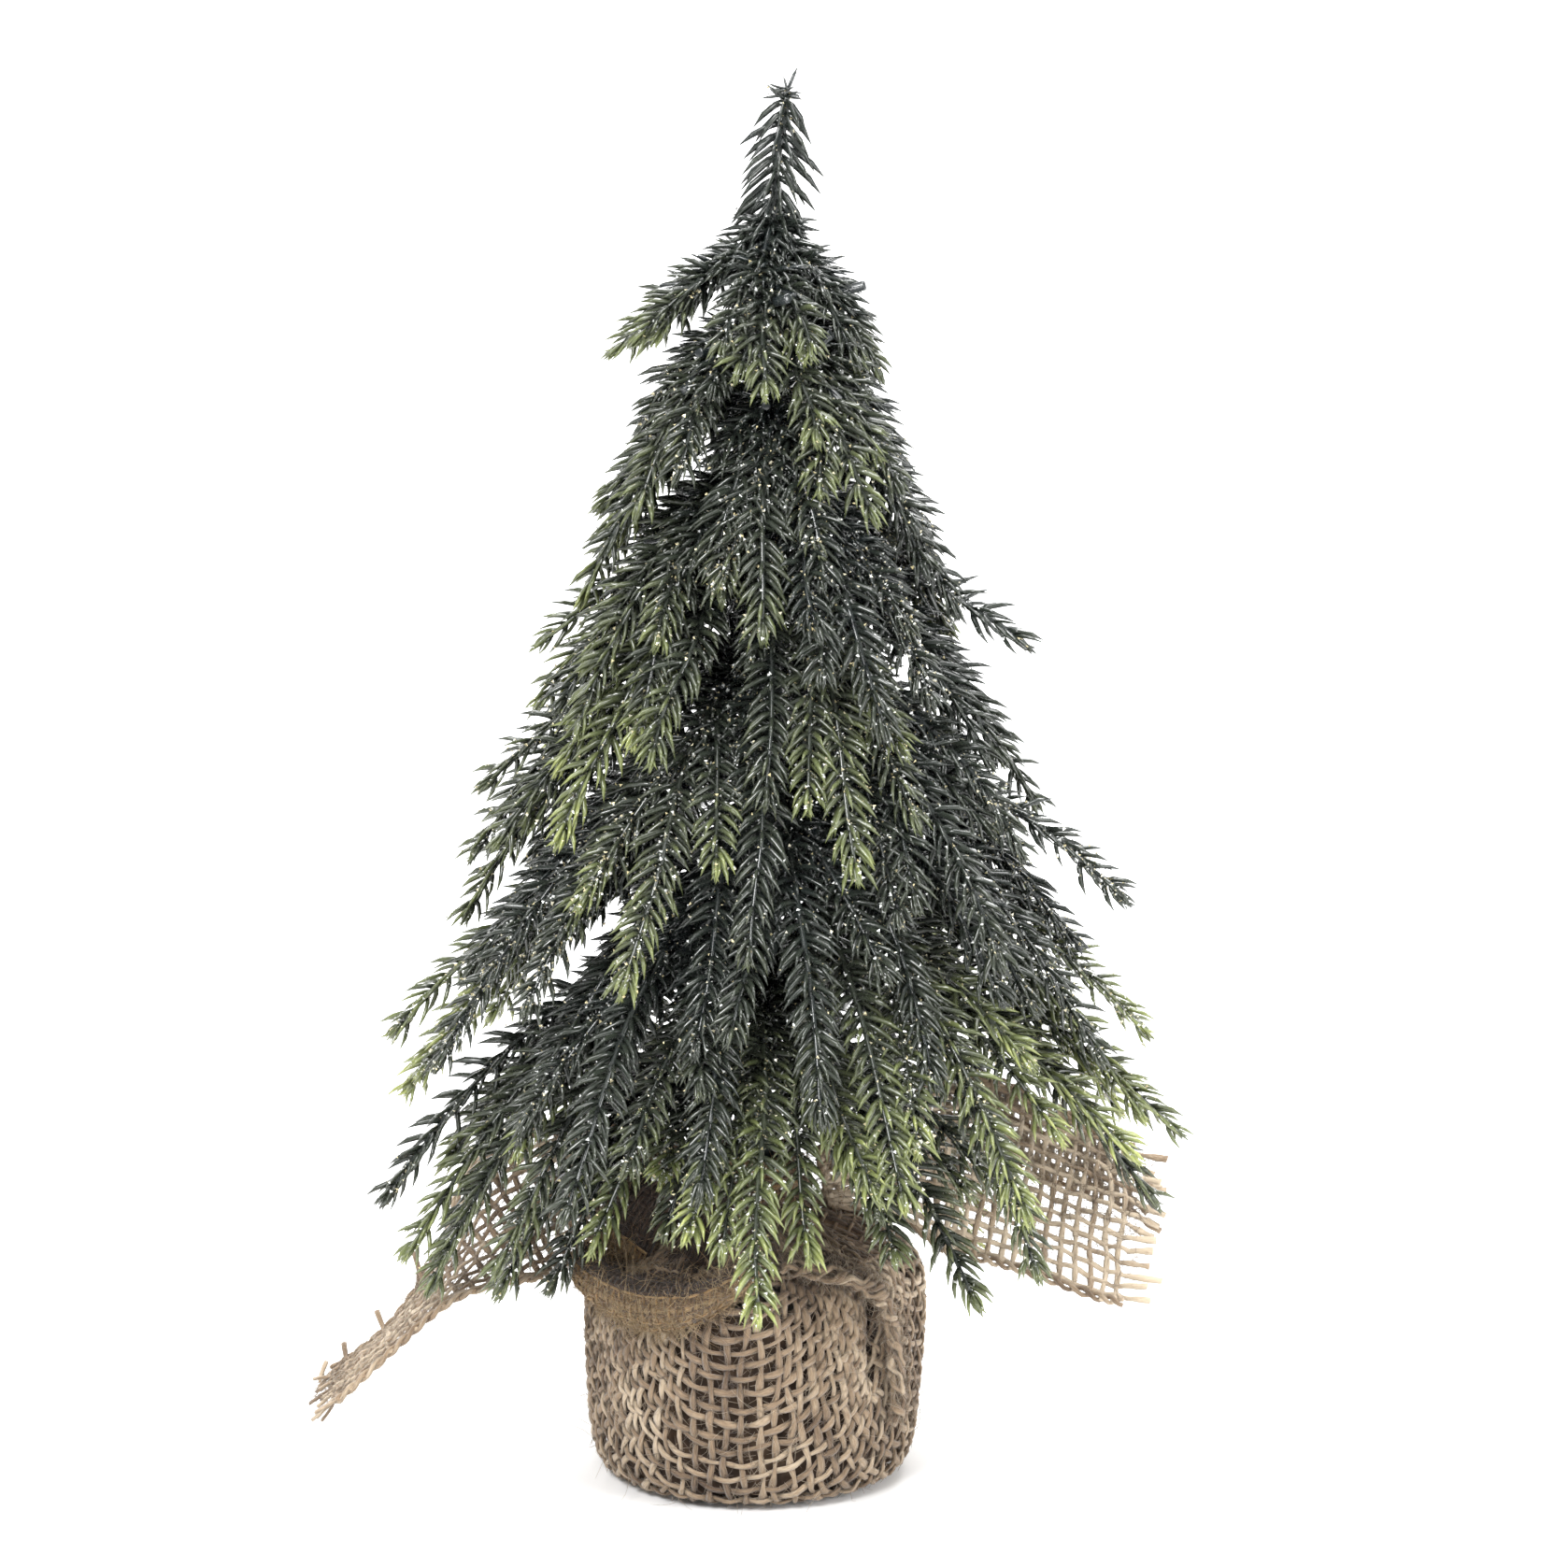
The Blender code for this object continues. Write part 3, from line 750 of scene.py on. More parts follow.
@dataclass
class Sprig:
    """One sprig of a spray: a stem and the needles along it.

    Each rank of needles is its turn round the stem in degrees, every how many steps it has one, and from
    which step. The curve gives shares of a needle's length, and how far it has bent there in millimetres.
    """

    path: Points
    lime: tuple[float, float]
    needle: float = 8.3
    bare: float = 0.02
    pitch: float = 1.36
    stem: float = 0.85
    seed: int = 0
    fan: int = 9
    ranks: Rows = ((4, 2, 0), (176, 2, 1), (40, 4, 1), (140, 4, 3), (90, 6, 2), (-42, 5, 3), (-138, 5, 1))
    curve: Rows = ((0.0, 0.28, 0.66, 1.0), (0.0, 0.45, 1.9, 4.1))

    def grow(self, heap: Heap, needle: Mould) -> tuple[Points, Points]:
        """Adds the stem and its needles, which end in a fan that points ahead.

        Args:
            heap: takes them.
            needle: the needle to copy.

        Returns:
            Places along the stem and along the needles where glitter can stick, (k, 3) each.
        """
        draw = np.random.default_rng(self.seed)
        line = spaced(self.path, self.pitch)
        count = len(line)
        share = np.linspace(0, 1, count)
        ahead = unit(np.gradient(line, axis=0))
        side = unit(np.cross(UP, ahead))
        rise = np.cross(ahead, side)
        thick = (self.stem * (1 - 0.55 * share))[None]
        tubes(heap, line[None], rise[None], thick, thick, sum(self.lime) * 0.22, sides=6)
        rows = []
        for spin, every, odd in self.ranks:
            at = np.arange(count)
            at = at[(at % every == odd) & (share > self.bare)]
            rows.append(np.stack([at, np.full(len(at), spin)], axis=1))
        rows.append(np.stack([np.full(self.fan, count - 1), np.arange(self.fan) * 360 / self.fan], axis=1))
        table = np.concatenate(rows).astype(float)
        k = len(table)
        at = table[:, 0].astype(int)
        tail = share[at]
        final = np.arange(k) >= k - self.fan
        spin = np.radians(table[:, 1] + draw.normal(0, 9, k))
        open_angle = np.radians(np.where(final, draw.uniform(8, 40, k),
                                         80 - 18 * tail**2 + draw.normal(0, 6, k)))
        radial = side[at] * np.cos(spin)[:, None] + rise[at] * np.sin(spin)[:, None]
        reach = ahead[at] * np.cos(open_angle)[:, None] + radial * np.sin(open_angle)[:, None]
        inward = unit(ahead[at] - reach * (ahead[at] * reach).sum(1, keepdims=True))
        third = np.cross(reach, inward)
        swell = np.interp(tail, (0, 0.12, 0.6, 1), (0.7, 0.95, 1.0, 0.72))
        length = self.needle * swell * draw.uniform(0.86, 1.1, k) * np.where(final, 0.8, 1) / NEEDLE_LENGTH
        girth = draw.uniform(0.85, 1.12, k)
        axes = np.stack([inward * girth[:, None], third * girth[:, None], reach * length[:, None]], axis=1)
        axes[:, 0] *= np.sqrt(length)[:, None]
        along = np.clip(needle.points[:, 2] / NEEDLE_LENGTH, 0, 1)
        ripe = np.clip((tail - 0.25) / 0.75, 0, 1) ** 1.2
        green = (self.lime[0] + (self.lime[1] - self.lime[0]) * ripe) * draw.uniform(0.75, 1.15, k)
        tones = green[:, None] * (0.45 + 0.6 * along[None]) + 0.05
        origins = line[at] + radial * (self.stem * 0.3)
        needle.copies(heap, origins, axes, tones)
        on = draw.uniform(0.04, 0.85, (3, k))
        bend = np.interp(on, *self.curve) * girth * np.sqrt(length)
        middles = origins + reach * (length * NEEDLE_LENGTH * on)[..., None] + inward * bend[..., None]
        return line, (middles + unit(radial + UP * 0.9) * 0.4).reshape(-1, 3)


@dataclass
class Spray:
    """A branch of the tree: one main sprig and its side sprigs, moulded as one and glittered.

    Its dust is how many flakes stick for each place on a stem, near the stem and out on the needles.
    """

    name: str
    root: Points
    across: Points
    growth: Growth
    frost: float
    seed: int
    side_starts: tuple[tuple[float, float], ...] = ((0.34, 1.0), (0.48, -1.0))
    side_angle: float = 30.0
    side_length: float = 0.44
    side_sag: float = 0.22
    dust: tuple[float, float] = (0.62, 1.1)
    bent: Rows = ()
    stance: tuple[float, float] = (1.0, 1.0)
    company: Rows | None = None

    def outwards(self) -> tuple[Points, Points]:
        """The spray's level direction away from the trunk, and the trunk's own direction."""
        upright = np.array((math.sin(math.radians(1)), 0, math.cos(math.radians(1))))
        return np.cross(self.across, upright), upright

    def tip(self) -> tuple[float, float]:
        """Finds where the main sprig ends.

        Returns:
            How far out and how far up from its root its CAD node ends. Up is less than 0 where it droops.
        """
        out, upright = self.outwards()
        points = np.array([v.co for v in frame["nodes"][self.name].data.vertices]) / MM - self.root
        local = np.stack([points @ out, points @ self.across, points @ upright], axis=1)
        middle = local[np.abs(local[:, 1]) < 1.0]
        far = middle[np.argmax(np.linalg.norm(middle, axis=1))]
        end = middle[np.linalg.norm(middle - far, axis=1) < 1.3].mean(axis=0)
        return float(end[0]), float(end[2])

    def sprigs(self) -> list[Sprig]:
        """Lays out the main sprig, its side sprigs, the short inner ones and those beside it.

        Returns:
            The sprigs, in place.
        """
        draw = np.random.default_rng(self.seed)
        length, drop = np.multiply(self.tip(), self.stance)
        inner, outer = self.growth.value
        fade = float(np.interp(self.root[2], (90, 170, 240), (1.14, 1.08, 0.74)))
        lime = (inner * draw.uniform(0.6, 1.3) * fade, outer * draw.uniform(0.75, 1.1) * fade)
        lift = float(np.interp(self.root[2], (225, 255), (0.06, -0.16)))
        main = arc(np.zeros(3), np.array((0.45 * length, 0, lift * length)), np.array((length, 0, drop)))
        size = math.hypot(length, drop)
        t = np.linspace(0, 1, len(main))
        main[:, 1] += ripple(t, 0.9, self.seed) * 1.2 * t
        made = [Sprig(main, lime, needle=min(8.4, 5.4 + size * 0.06), stem=1.0, seed=self.seed * 10)]
        for k, (share, way) in enumerate(self.side_starts):
            at = int(share * (len(main) - 1))
            start, heading = main[at], unit(main[at + 2] - main[at])
            turn = way * math.radians(self.side_angle)
            heading = np.array((heading[0] * math.cos(turn) - heading[1] * math.sin(turn),
                                heading[0] * math.sin(turn) + heading[1] * math.cos(turn), heading[2]))
            reach = self.side_length * size
            end = start + heading * reach - UP * self.side_sag * reach
            made.append(Sprig(arc(start, start + heading * reach * 0.5, end), lime,
                              needle=7.8, stem=0.8, seed=self.seed * 10 + 1 + k))
        for k, (share, way) in enumerate(((0.14, -1.0), (0.24, 1.0))):
            at = int(share * (len(main) - 1))
            turn = way * math.radians(42)
            heading = np.array((math.cos(turn), math.sin(turn), -0.35))
            reach = 0.27 * size
            end = main[at] + heading * reach - UP * 0.3 * reach
            made.append(Sprig(arc(main[at], main[at] + heading * reach * 0.5, end), (0.0, lime[1] * 0.4),
                              needle=7.4, stem=0.7, seed=self.seed * 10 + 5 + k))
        companions = tuple((way * draw.uniform(17, 27), size_share, draw.uniform(0.62, 1.1))
                           for way, size_share in ((1, 0.9), (-1, 0.82)))
        if self.company is not None:
            companions = self.company
        for k, (degrees, size_share, steep) in enumerate(companions + self.bent):
            turn = math.radians(degrees)
            out = np.array((math.cos(turn), math.sin(turn), 0))
            far, low = length * size_share, drop * size_share * steep
            path = arc(np.zeros(3), out * 0.45 * far + UP * (lift + 0.04) * far, out * far + UP * low)
            path[:, 1] += ripple(t, 0.8, self.seed + k) * 1.5 * t
            made.append(Sprig(path, (lime[0] * 0.6, lime[1] * draw.uniform(0.3, 1.0)), stem=0.9,
                              needle=min(8.3, 5.2 + size * 0.06), seed=self.seed * 10 + 8 + k))
        out, upright = self.outwards()
        turned = np.stack([out, self.across, upright])
        for sprig in made:
            sprig.path = sprig.path @ turned + self.root
        return made

    def stubs(self, heap: Heap, stub: Mould, path: Points) -> None:
        """Adds the sprue ends that stick out of the main sprig's inner half.

        Args:
            heap: takes them.
            stub: the sprue end to copy.
            path: (n, 3) points of the main sprig.
        """
        draw = np.random.default_rng(self.seed + 3)
        for share in draw.uniform(0.12, 0.55, 2):
            way = unit(unit(path[-1] - path[0]) * (1, 1, 0.3) + draw.normal(0, 0.5, 3))
            across = unit(np.cross(way, UP))
            axes = np.stack([across, np.cross(way, across), way])[None]
            stub.copies(heap, path[int(share * len(path))][None], axes, np.zeros((1, len(stub.points))))

    def build(self, needle: Mould, flake: Mould, stub: Mould, finish: bpy.types.Material,
              glints: dict[Glint, bpy.types.Material]) -> None:
        """Builds the spray and its glitter, in place of its CAD node.

        Args:
            needle: the needle to copy.
            flake: the glitter flake to copy.
            stub: the sprue end to copy.
            finish: material of the needles.
            glints: material of each colour of glitter.
        """
        heap = Heap()
        stems, greens = [], []
        draw = np.random.default_rng(self.seed + 4)
        sprigs = self.sprigs()
        if self.root[2] > 215:
            self.stubs(heap, stub, sprigs[0].path)
        for sprig in sprigs:
            on_stem, on_needles = sprig.grow(heap, needle)
            dusted = draw.choice((1, 2, 6))
            stems += [on_stem] * dusted
            greens += [on_needles] * dusted
        made = heap.piece("fir_" + self.name, finish)
        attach(made, self.name)
        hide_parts(self.name)
        self.glitter(flake, np.concatenate(stems), np.concatenate(greens), glints)

    def glitter(self, flake: Mould, stems: Points, greens: Points,
                glints: dict[Glint, bpy.types.Material]) -> None:
        """Sticks flakes along the stems and out on the needles.

        Args:
            flake: the flake to copy.
            stems: (n, 3) places on stems. One that is listed twice is dusted twice as much.
            greens: (m, 3) places on needles.
            glints: material of each colour of glitter.
        """
        draw = np.random.default_rng(self.seed + 7)
        for glint, part in ((Glint.SILVER, 0.62), (Glint.GOLD, 0.38)):
            near = stems[draw.integers(0, len(stems), int(len(stems) * self.dust[0] * self.frost * part))]
            near = near + unit(draw.normal(size=near.shape)) * draw.uniform(0.7, 1.6, (len(near), 1))
            out = greens[draw.integers(0, len(greens), int(len(stems) * self.dust[1] * self.frost * part))]
            out = out + draw.normal(size=out.shape) * 0.12
            places = np.concatenate([near, out])
            k = len(places)
            axes = tumbled(k, draw) * draw.uniform(0.5, 1.2, (k, 1, 1))
            tones = np.repeat(draw.uniform(0.3, 1.0, (k, 1)), len(flake.points), axis=1)
            heap = Heap()
            flake.copies(heap, places, axes, tones)
            made = heap.piece(f"{glint.value[0]}_{self.name}", glints[glint], smooth=False)
            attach(made, self.name)


# Sprigs bent by hand away from the rest of their spray: degrees round the trunk from the spray's own
# direction, share of its reach and share of its drop.
BENT: dict[str, Rows] = {
    "branch_03_2": ((2, 0.86, 0.62),),
    "branch_05_1": ((-4, 0.92, 0.32),),
    "branch_05_3": ((20, 0.88, 0.42),),
    "branch_06_3": ((4, 0.92, 0.52), (-9, 1.0, 0.8)),
    "branch_07_5": ((8, 1.04, 0.42), (13, 0.9, 0.7)),
    "branch_08_1": ((-15, 0.98, 0.62), (-21, 0.98, 0.9)),
    "branch_08_3": ((10, 0.98, 0.72),),
    "branch_09_3": ((-12, 1.03, 0.84), (7, 0.97, 1.12), (-5, 0.88, 1.2)),
    "branch_09_4": ((10, 0.76, 1.15), (-6, 0.86, 0.95)),
    "branch_09_5": ((16, 1.12, 0.9), (12, 1.06, 1.3)),
    "branch_10_3": ((-20, 1.25, 1.09), (-12, 1.07, 1.22)),
}

# Sprays whose main sprig was bent by hand: shares of its CAD reach and drop at which it ends.
STANCE: dict[str, tuple[float, float]] = {
    "branch_01_2": (1.12, 0.84),
    "branch_01_4": (0.8, 0.98),
    "branch_09_4": (1.0, 0.9),
    "branch_09_5": (1.0, 0.62),
    "branch_10_3": (0.8, 0.66),
    "branch_10_4": (1.0, 0.78),
}

# Sprigs of a few sprays in place of the usual two beside the main one, in the same three numbers as BENT.
COMPANY: dict[str, Rows] = {
    "branch_01_4": ((22, 0.85, 0.9), (-26, 0.9, 1.0)),
    "branch_08_5": ((-20, 0.92, 1.0), (2, 1.0, 1.22)),
    "branch_09_5": (),
    "branch_10_1": (),
}


@dataclass
class Leader:
    """The upright sprig at the top, whose needles sweep down, with a star of thin ones at its end."""

    name: str = "leader_sprig"
    lean: float = 5.8
    length: float = 33.6
    pitch: float = 2.3
    skirt: int = 6
    seed: int = 5

    def build(self, needle: Mould, flake: Mould, finish: bpy.types.Material,
              glints: dict[Glint, bpy.types.Material], root: Points) -> None:
        """Builds it in place of its CAD node.

        Args:
            needle: the needle to copy.
            flake: the glitter flake to copy.
            finish: material of the needles.
            glints: material of each colour of glitter.
            root: its foot, at the top of the trunk.
        """
        draw = np.random.default_rng(self.seed)
        turn = math.radians(self.lean)
        ahead = np.array((math.sin(turn), 0, math.cos(turn)))
        side, back = np.array((math.cos(turn), 0, -math.sin(turn))), np.array((0.0, 1.0, 0.0))
        heap = Heap()
        line = root + ahead * np.linspace(-3, self.length - 5.0, 20)[:, None]
        share = np.linspace(0, 1, 20)
        line += side * (ripple(share, 0.8, 3) * 0.5)[:, None]
        thick = 1.2 * (1 - 0.45 * share)
        tubes(heap, line[None], back, thick[None], thick[None], 0.05, sides=7)
        steps = int((self.length + 4) / self.pitch)
        at = np.repeat(np.arange(steps) / (steps - 1), 5)
        k = len(at)
        spin = np.radians(np.tile((0, 180, 306, 236, 90), steps)
                          + np.repeat(np.arange(steps) % 2 * 24.0 - 9, 5) + draw.normal(0, 8, k))
        open_angle = np.radians(np.interp(at, (0, 1), (56, 72)) + draw.normal(0, 5, k))
        radial = side * np.cos(spin)[:, None] + back * np.sin(spin)[:, None]
        reach = -ahead * np.cos(open_angle)[:, None] + radial * np.sin(open_angle)[:, None]
        lower = unit(-ahead - reach * (-ahead * reach).sum(1, keepdims=True))
        length = np.interp(at, (0, 0.75, 1), (13.5, 11, 8.2)) * draw.uniform(0.88, 1.08, k) / NEEDLE_LENGTH
        places = root + ahead * (-7.0 + at * (self.length + 0.5))[:, None]
        self.copy(heap, needle, places, reach, lower * 1.15, length, 0.86, 0.16, draw)
        top = root + ahead * (self.length - 5.2)
        star = 26
        spin = np.radians(np.arange(star) * 137.5)
        tilt = np.radians(draw.uniform(48, 104, star))
        radial = side * np.cos(spin)[:, None] + back * np.sin(spin)[:, None]
        reach = ahead * np.cos(tilt)[:, None] + radial * np.sin(tilt)[:, None]
        outer = unit(np.cross(reach, unit(draw.normal(size=(star, 3)))))
        self.copy(heap, needle, np.repeat(top[None], star, 0) + ahead * draw.uniform(-1.5, 1.2, (star, 1)),
                  reach, outer * 0.3, draw.uniform(3.2, 5.6, star) / NEEDLE_LENGTH, 0.78, 0.12, draw)
        point = unit(ahead + side * 0.32)
        self.copy(heap, needle, top[None], point[None], back[None] * 0.3, np.array((6.6 / NEEDLE_LENGTH,)),
                  0.85, 0.1, draw)
        for k in range(self.skirt):
            turn = math.radians(20 + 360 / self.skirt * k)
            out = side * math.cos(turn) + back * math.sin(turn)
            start = root + ahead * 2.0
            path = arc(start, start + out * 4.5 - ahead * 1.0, start + out * 9.5 - ahead * 11.0)
            Sprig(path, (0.05, 0.2), needle=7.2, stem=0.8, seed=500 + k).grow(heap, needle)
        made = heap.piece("fir_leader", finish)
        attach(made, self.name)
        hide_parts(self.name)
        dusted = Spray(self.name, root, back, Growth.OLD, 9.0, 90)
        dusted.glitter(flake, line, np.concatenate(heap.points), glints)

    @staticmethod
    def copy(heap: Heap, needle: Mould, origins: Points, reach: Points, bend: Points,
             length: Numbers, girth: float, lime: float, draw: np.random.Generator) -> None:
        """Adds needles.

        Args:
            heap: takes them.
            needle: the needle to copy.
            origins: (k, 3) where they start.
            reach: (k, 3) unit directions they point in.
            bend: (k, 3) directions they curve to, whose size is how strongly.
            length: (k,) share of the mould's length.
            girth: share of the mould's girth.
            lime: how green they are.
            draw: source of the random tones.
        """
        strength = np.linalg.norm(bend, axis=1, keepdims=True)
        first = unit(bend)
        third = np.cross(reach, first) * girth
        axes = np.stack([first * girth * np.maximum(strength, 0.4), third, reach * length[:, None]], axis=1)
        along = np.clip(needle.points[:, 2] / NEEDLE_LENGTH, 0, 1)
        tones = draw.uniform(0.6, 1.2, (len(origins), 1)) * lime * (0.4 + 0.6 * along[None])
        needle.copies(heap, origins, axes, tones)


@dataclass
class GlueBeads:
    """Beads of hot-melt glue on the front of the trunk, dusted with glitter."""

    places: Rows = ((2.9, -2.8, 251.0), (1.7, -2.8, 245.6))
    size: float = 1.9

    def build(self, flake: Mould, glints: dict[Glint, bpy.types.Material]) -> None:
        """Builds the beads and the flakes stuck on them.

        Args:
            flake: the glitter flake to copy.
            glints: material of each colour of glitter.
        """
        heap, dust = Heap(), Heap()
        draw = np.random.default_rng(9)
        for k, place in enumerate(np.array(self.places)):
            bpy.ops.object.select_all(action="DESELECT")
            bpy.ops.mesh.primitive_ico_sphere_add(subdivisions=3, radius=self.size * MM, location=(0, 0, 0))
            obj = bpy.context.object
            bpy.ops.object.mode_set(mode="EDIT")
            bpy.ops.mesh.select_all(action="SELECT")
            bpy.ops.transform.resize(value=(1, 0.8, 1.2), center_override=(0, 0, 0))
            bpy.ops.transform.vertex_random(offset=0.16 * MM, seed=k + 1)
            bpy.ops.object.mode_set(mode="OBJECT")
            bead = Mould.taken_from(obj)
            bead.copies(heap, place[None], np.eye(3)[None], np.zeros((1, len(bead.points))))
            spots = place + bead.points[draw.integers(0, len(bead.points), 60)] * 1.04
            flake.copies(dust, spots, tumbled(60, draw) * 0.7, np.ones((60, len(flake.points))))
        glue = Mottled(name="hot_melt_glue", roughness=0.35, dark="#4B5150", light="#7C827F", mottle=600,
                       grain=1500, depth=0.0003).make()
        beads = heap.piece("glue_beads", glue)
        flakes = dust.piece("glitter_glue_beads", glints[Glint.SILVER], smooth=False)
        for made in (beads, flakes):
            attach(made, "base")


@dataclass
class Fir:
    """All the sprays and the leader, read from the joints of the frame."""

    seed: int = 12
    young: float = 0.5
    middling: float = 0.22

    def build(self, finish: bpy.types.Material, glints: dict[Glint, bpy.types.Material]) -> None:
        """Builds every spray on the body that carries it.

        Args:
            finish: material of the needles.
            glints: material of each colour of glitter.
        """
        needle, flake, stub = NeedleMould().build(), FlakeMould().build(), StubMould().build()
        GlueBeads().build(flake, glints)
        draw = np.random.default_rng(self.seed)
        for number, joint in enumerate(frame["joints"]):
            root = np.array(joint["pos_m"]) / MM
            if joint["child"] == "leader_sprig":
                Leader().build(needle, flake, finish, glints, root)
            elif joint["child"].startswith("branch_"):
                pick = draw.random()
                growth = (Growth.YOUNG if pick < self.young else
                          Growth.FIR if pick < self.young + self.middling else Growth.OLD)
                across = -np.array(joint["axis"])
                Spray(joint["child"], root, across, growth, draw.uniform(0.5, 2.2), 100 + number,
                      bent=BENT.get(joint["child"], ()), stance=STANCE.get(joint["child"], (1.0, 1.0)),
                      company=COMPANY.get(joint["child"])).build(needle, flake, stub, finish, glints)


# --- burlap ------------------------------------------------------------------------------------------

def fibres(heap: Heap, origins: Points, normals: Points, length: tuple[float, float], seed: int,
           girth: float = 0.075, lift: float = 0.35, joints: int = 4,
           tones: tuple[float, float] = (0.3, 1.0)) -> None:
    """Adds loose jute fibres: short curling hairs that lie along the cloth and stand off it.

    One that would reach below the floor lies on it.

    Args:
        heap: takes them.
        origins: (k, 3) where they leave the cloth.
        normals: (k, 3) outward directions there.
        length: shortest and longest fibre.
        seed: picks the pattern.
        girth: half of their thickness.
        lift: how strongly they stand off.
        joints: stations along each.
        tones: darkest and palest fibre.
    """
    draw = np.random.default_rng(seed)
    k, n = len(origins), joints
    heading = draw.normal(size=(k, 3))
    heading = unit(heading - normals * (heading * normals).sum(1, keepdims=True))
    heading = unit(heading + normals * draw.uniform(-0.1, 2 * lift, (k, 1)))
    curl = unit(draw.normal(size=(k, 3))) * draw.uniform(0.1, 0.95, (k, 1))
    step = draw.uniform(*length, (k, 1)) / (n - 1)
    path = [origins]
    for _ in range(n - 1):
        path.append(path[-1] + heading * step)
        heading = unit(heading + curl * 0.55 - normals * 0.06)
    paths = np.stack(path, axis=1)
    paths[..., 2] = np.maximum(paths[..., 2], 0.15)
    thin = np.interp(np.linspace(0, 1, n), (0, 0.4, 0.8, 1), (1, 0.95, 0.7, 0.4)) * girth
    tubes(heap, paths, np.array((0.31, 0.52, 0.79)), thin, thin, draw.uniform(*tones, k), sides=3)


def darn(heap: Heap, grid: Points, normal: Points, every: tuple[int, int], girth: float,
         seed: int, tones: tuple[float, float] = (0.2, 0.7), ring: bool = False) -> None:
    """Adds yarns along the rows and columns of a sheet of cloth, so that it shows as woven.

    Args:
        heap: takes the yarns.
        grid: (nu, nv, 3) points on the sheet.
        normal: (nu, nv, 3) outward directions.
        every: steps of u and of v between yarns.
        girth: half of their thickness.
        seed: picks the pattern.
        tones: darkest and palest yarn.
        ring: the last row of u joins the first.
    """
    draw = np.random.default_rng(seed)
    nu, nv, _ = grid.shape
    for k, i in enumerate(range(0, nu, every[0])):
        lift = girth * (0.5 + 0.8 * (-1) ** k * np.cos(math.pi * np.arange(nv) / every[1]))
        path = grid[i] + normal[i] * lift[:, None]
        slub = girth * (1.05 + 0.3 * ripple(np.arange(nv), 9, seed + k))
        tubes(heap, path[None], normal[i][None], slub[None], slub[None] * 0.8, draw.uniform(*tones),
              shift=draw.uniform(0, 300))
    turned = np.arange(nu + 1) % nu if ring else np.arange(nu)
    for k, j in enumerate(range(0, nv, every[1])):
        lift = girth * (0.5 - 0.8 * (-1) ** k * np.cos(math.pi * np.arange(len(turned)) / every[0]))
        path = grid[turned, j] + normal[turned, j] * lift[:, None]
        slub = girth * (1.05 + 0.3 * ripple(np.arange(len(turned)), 9, seed + 500 + k))
        tubes(heap, path[None], normal[turned, j][None], slub[None], slub[None] * 0.8, draw.uniform(*tones),
              shift=draw.uniform(0, 300))


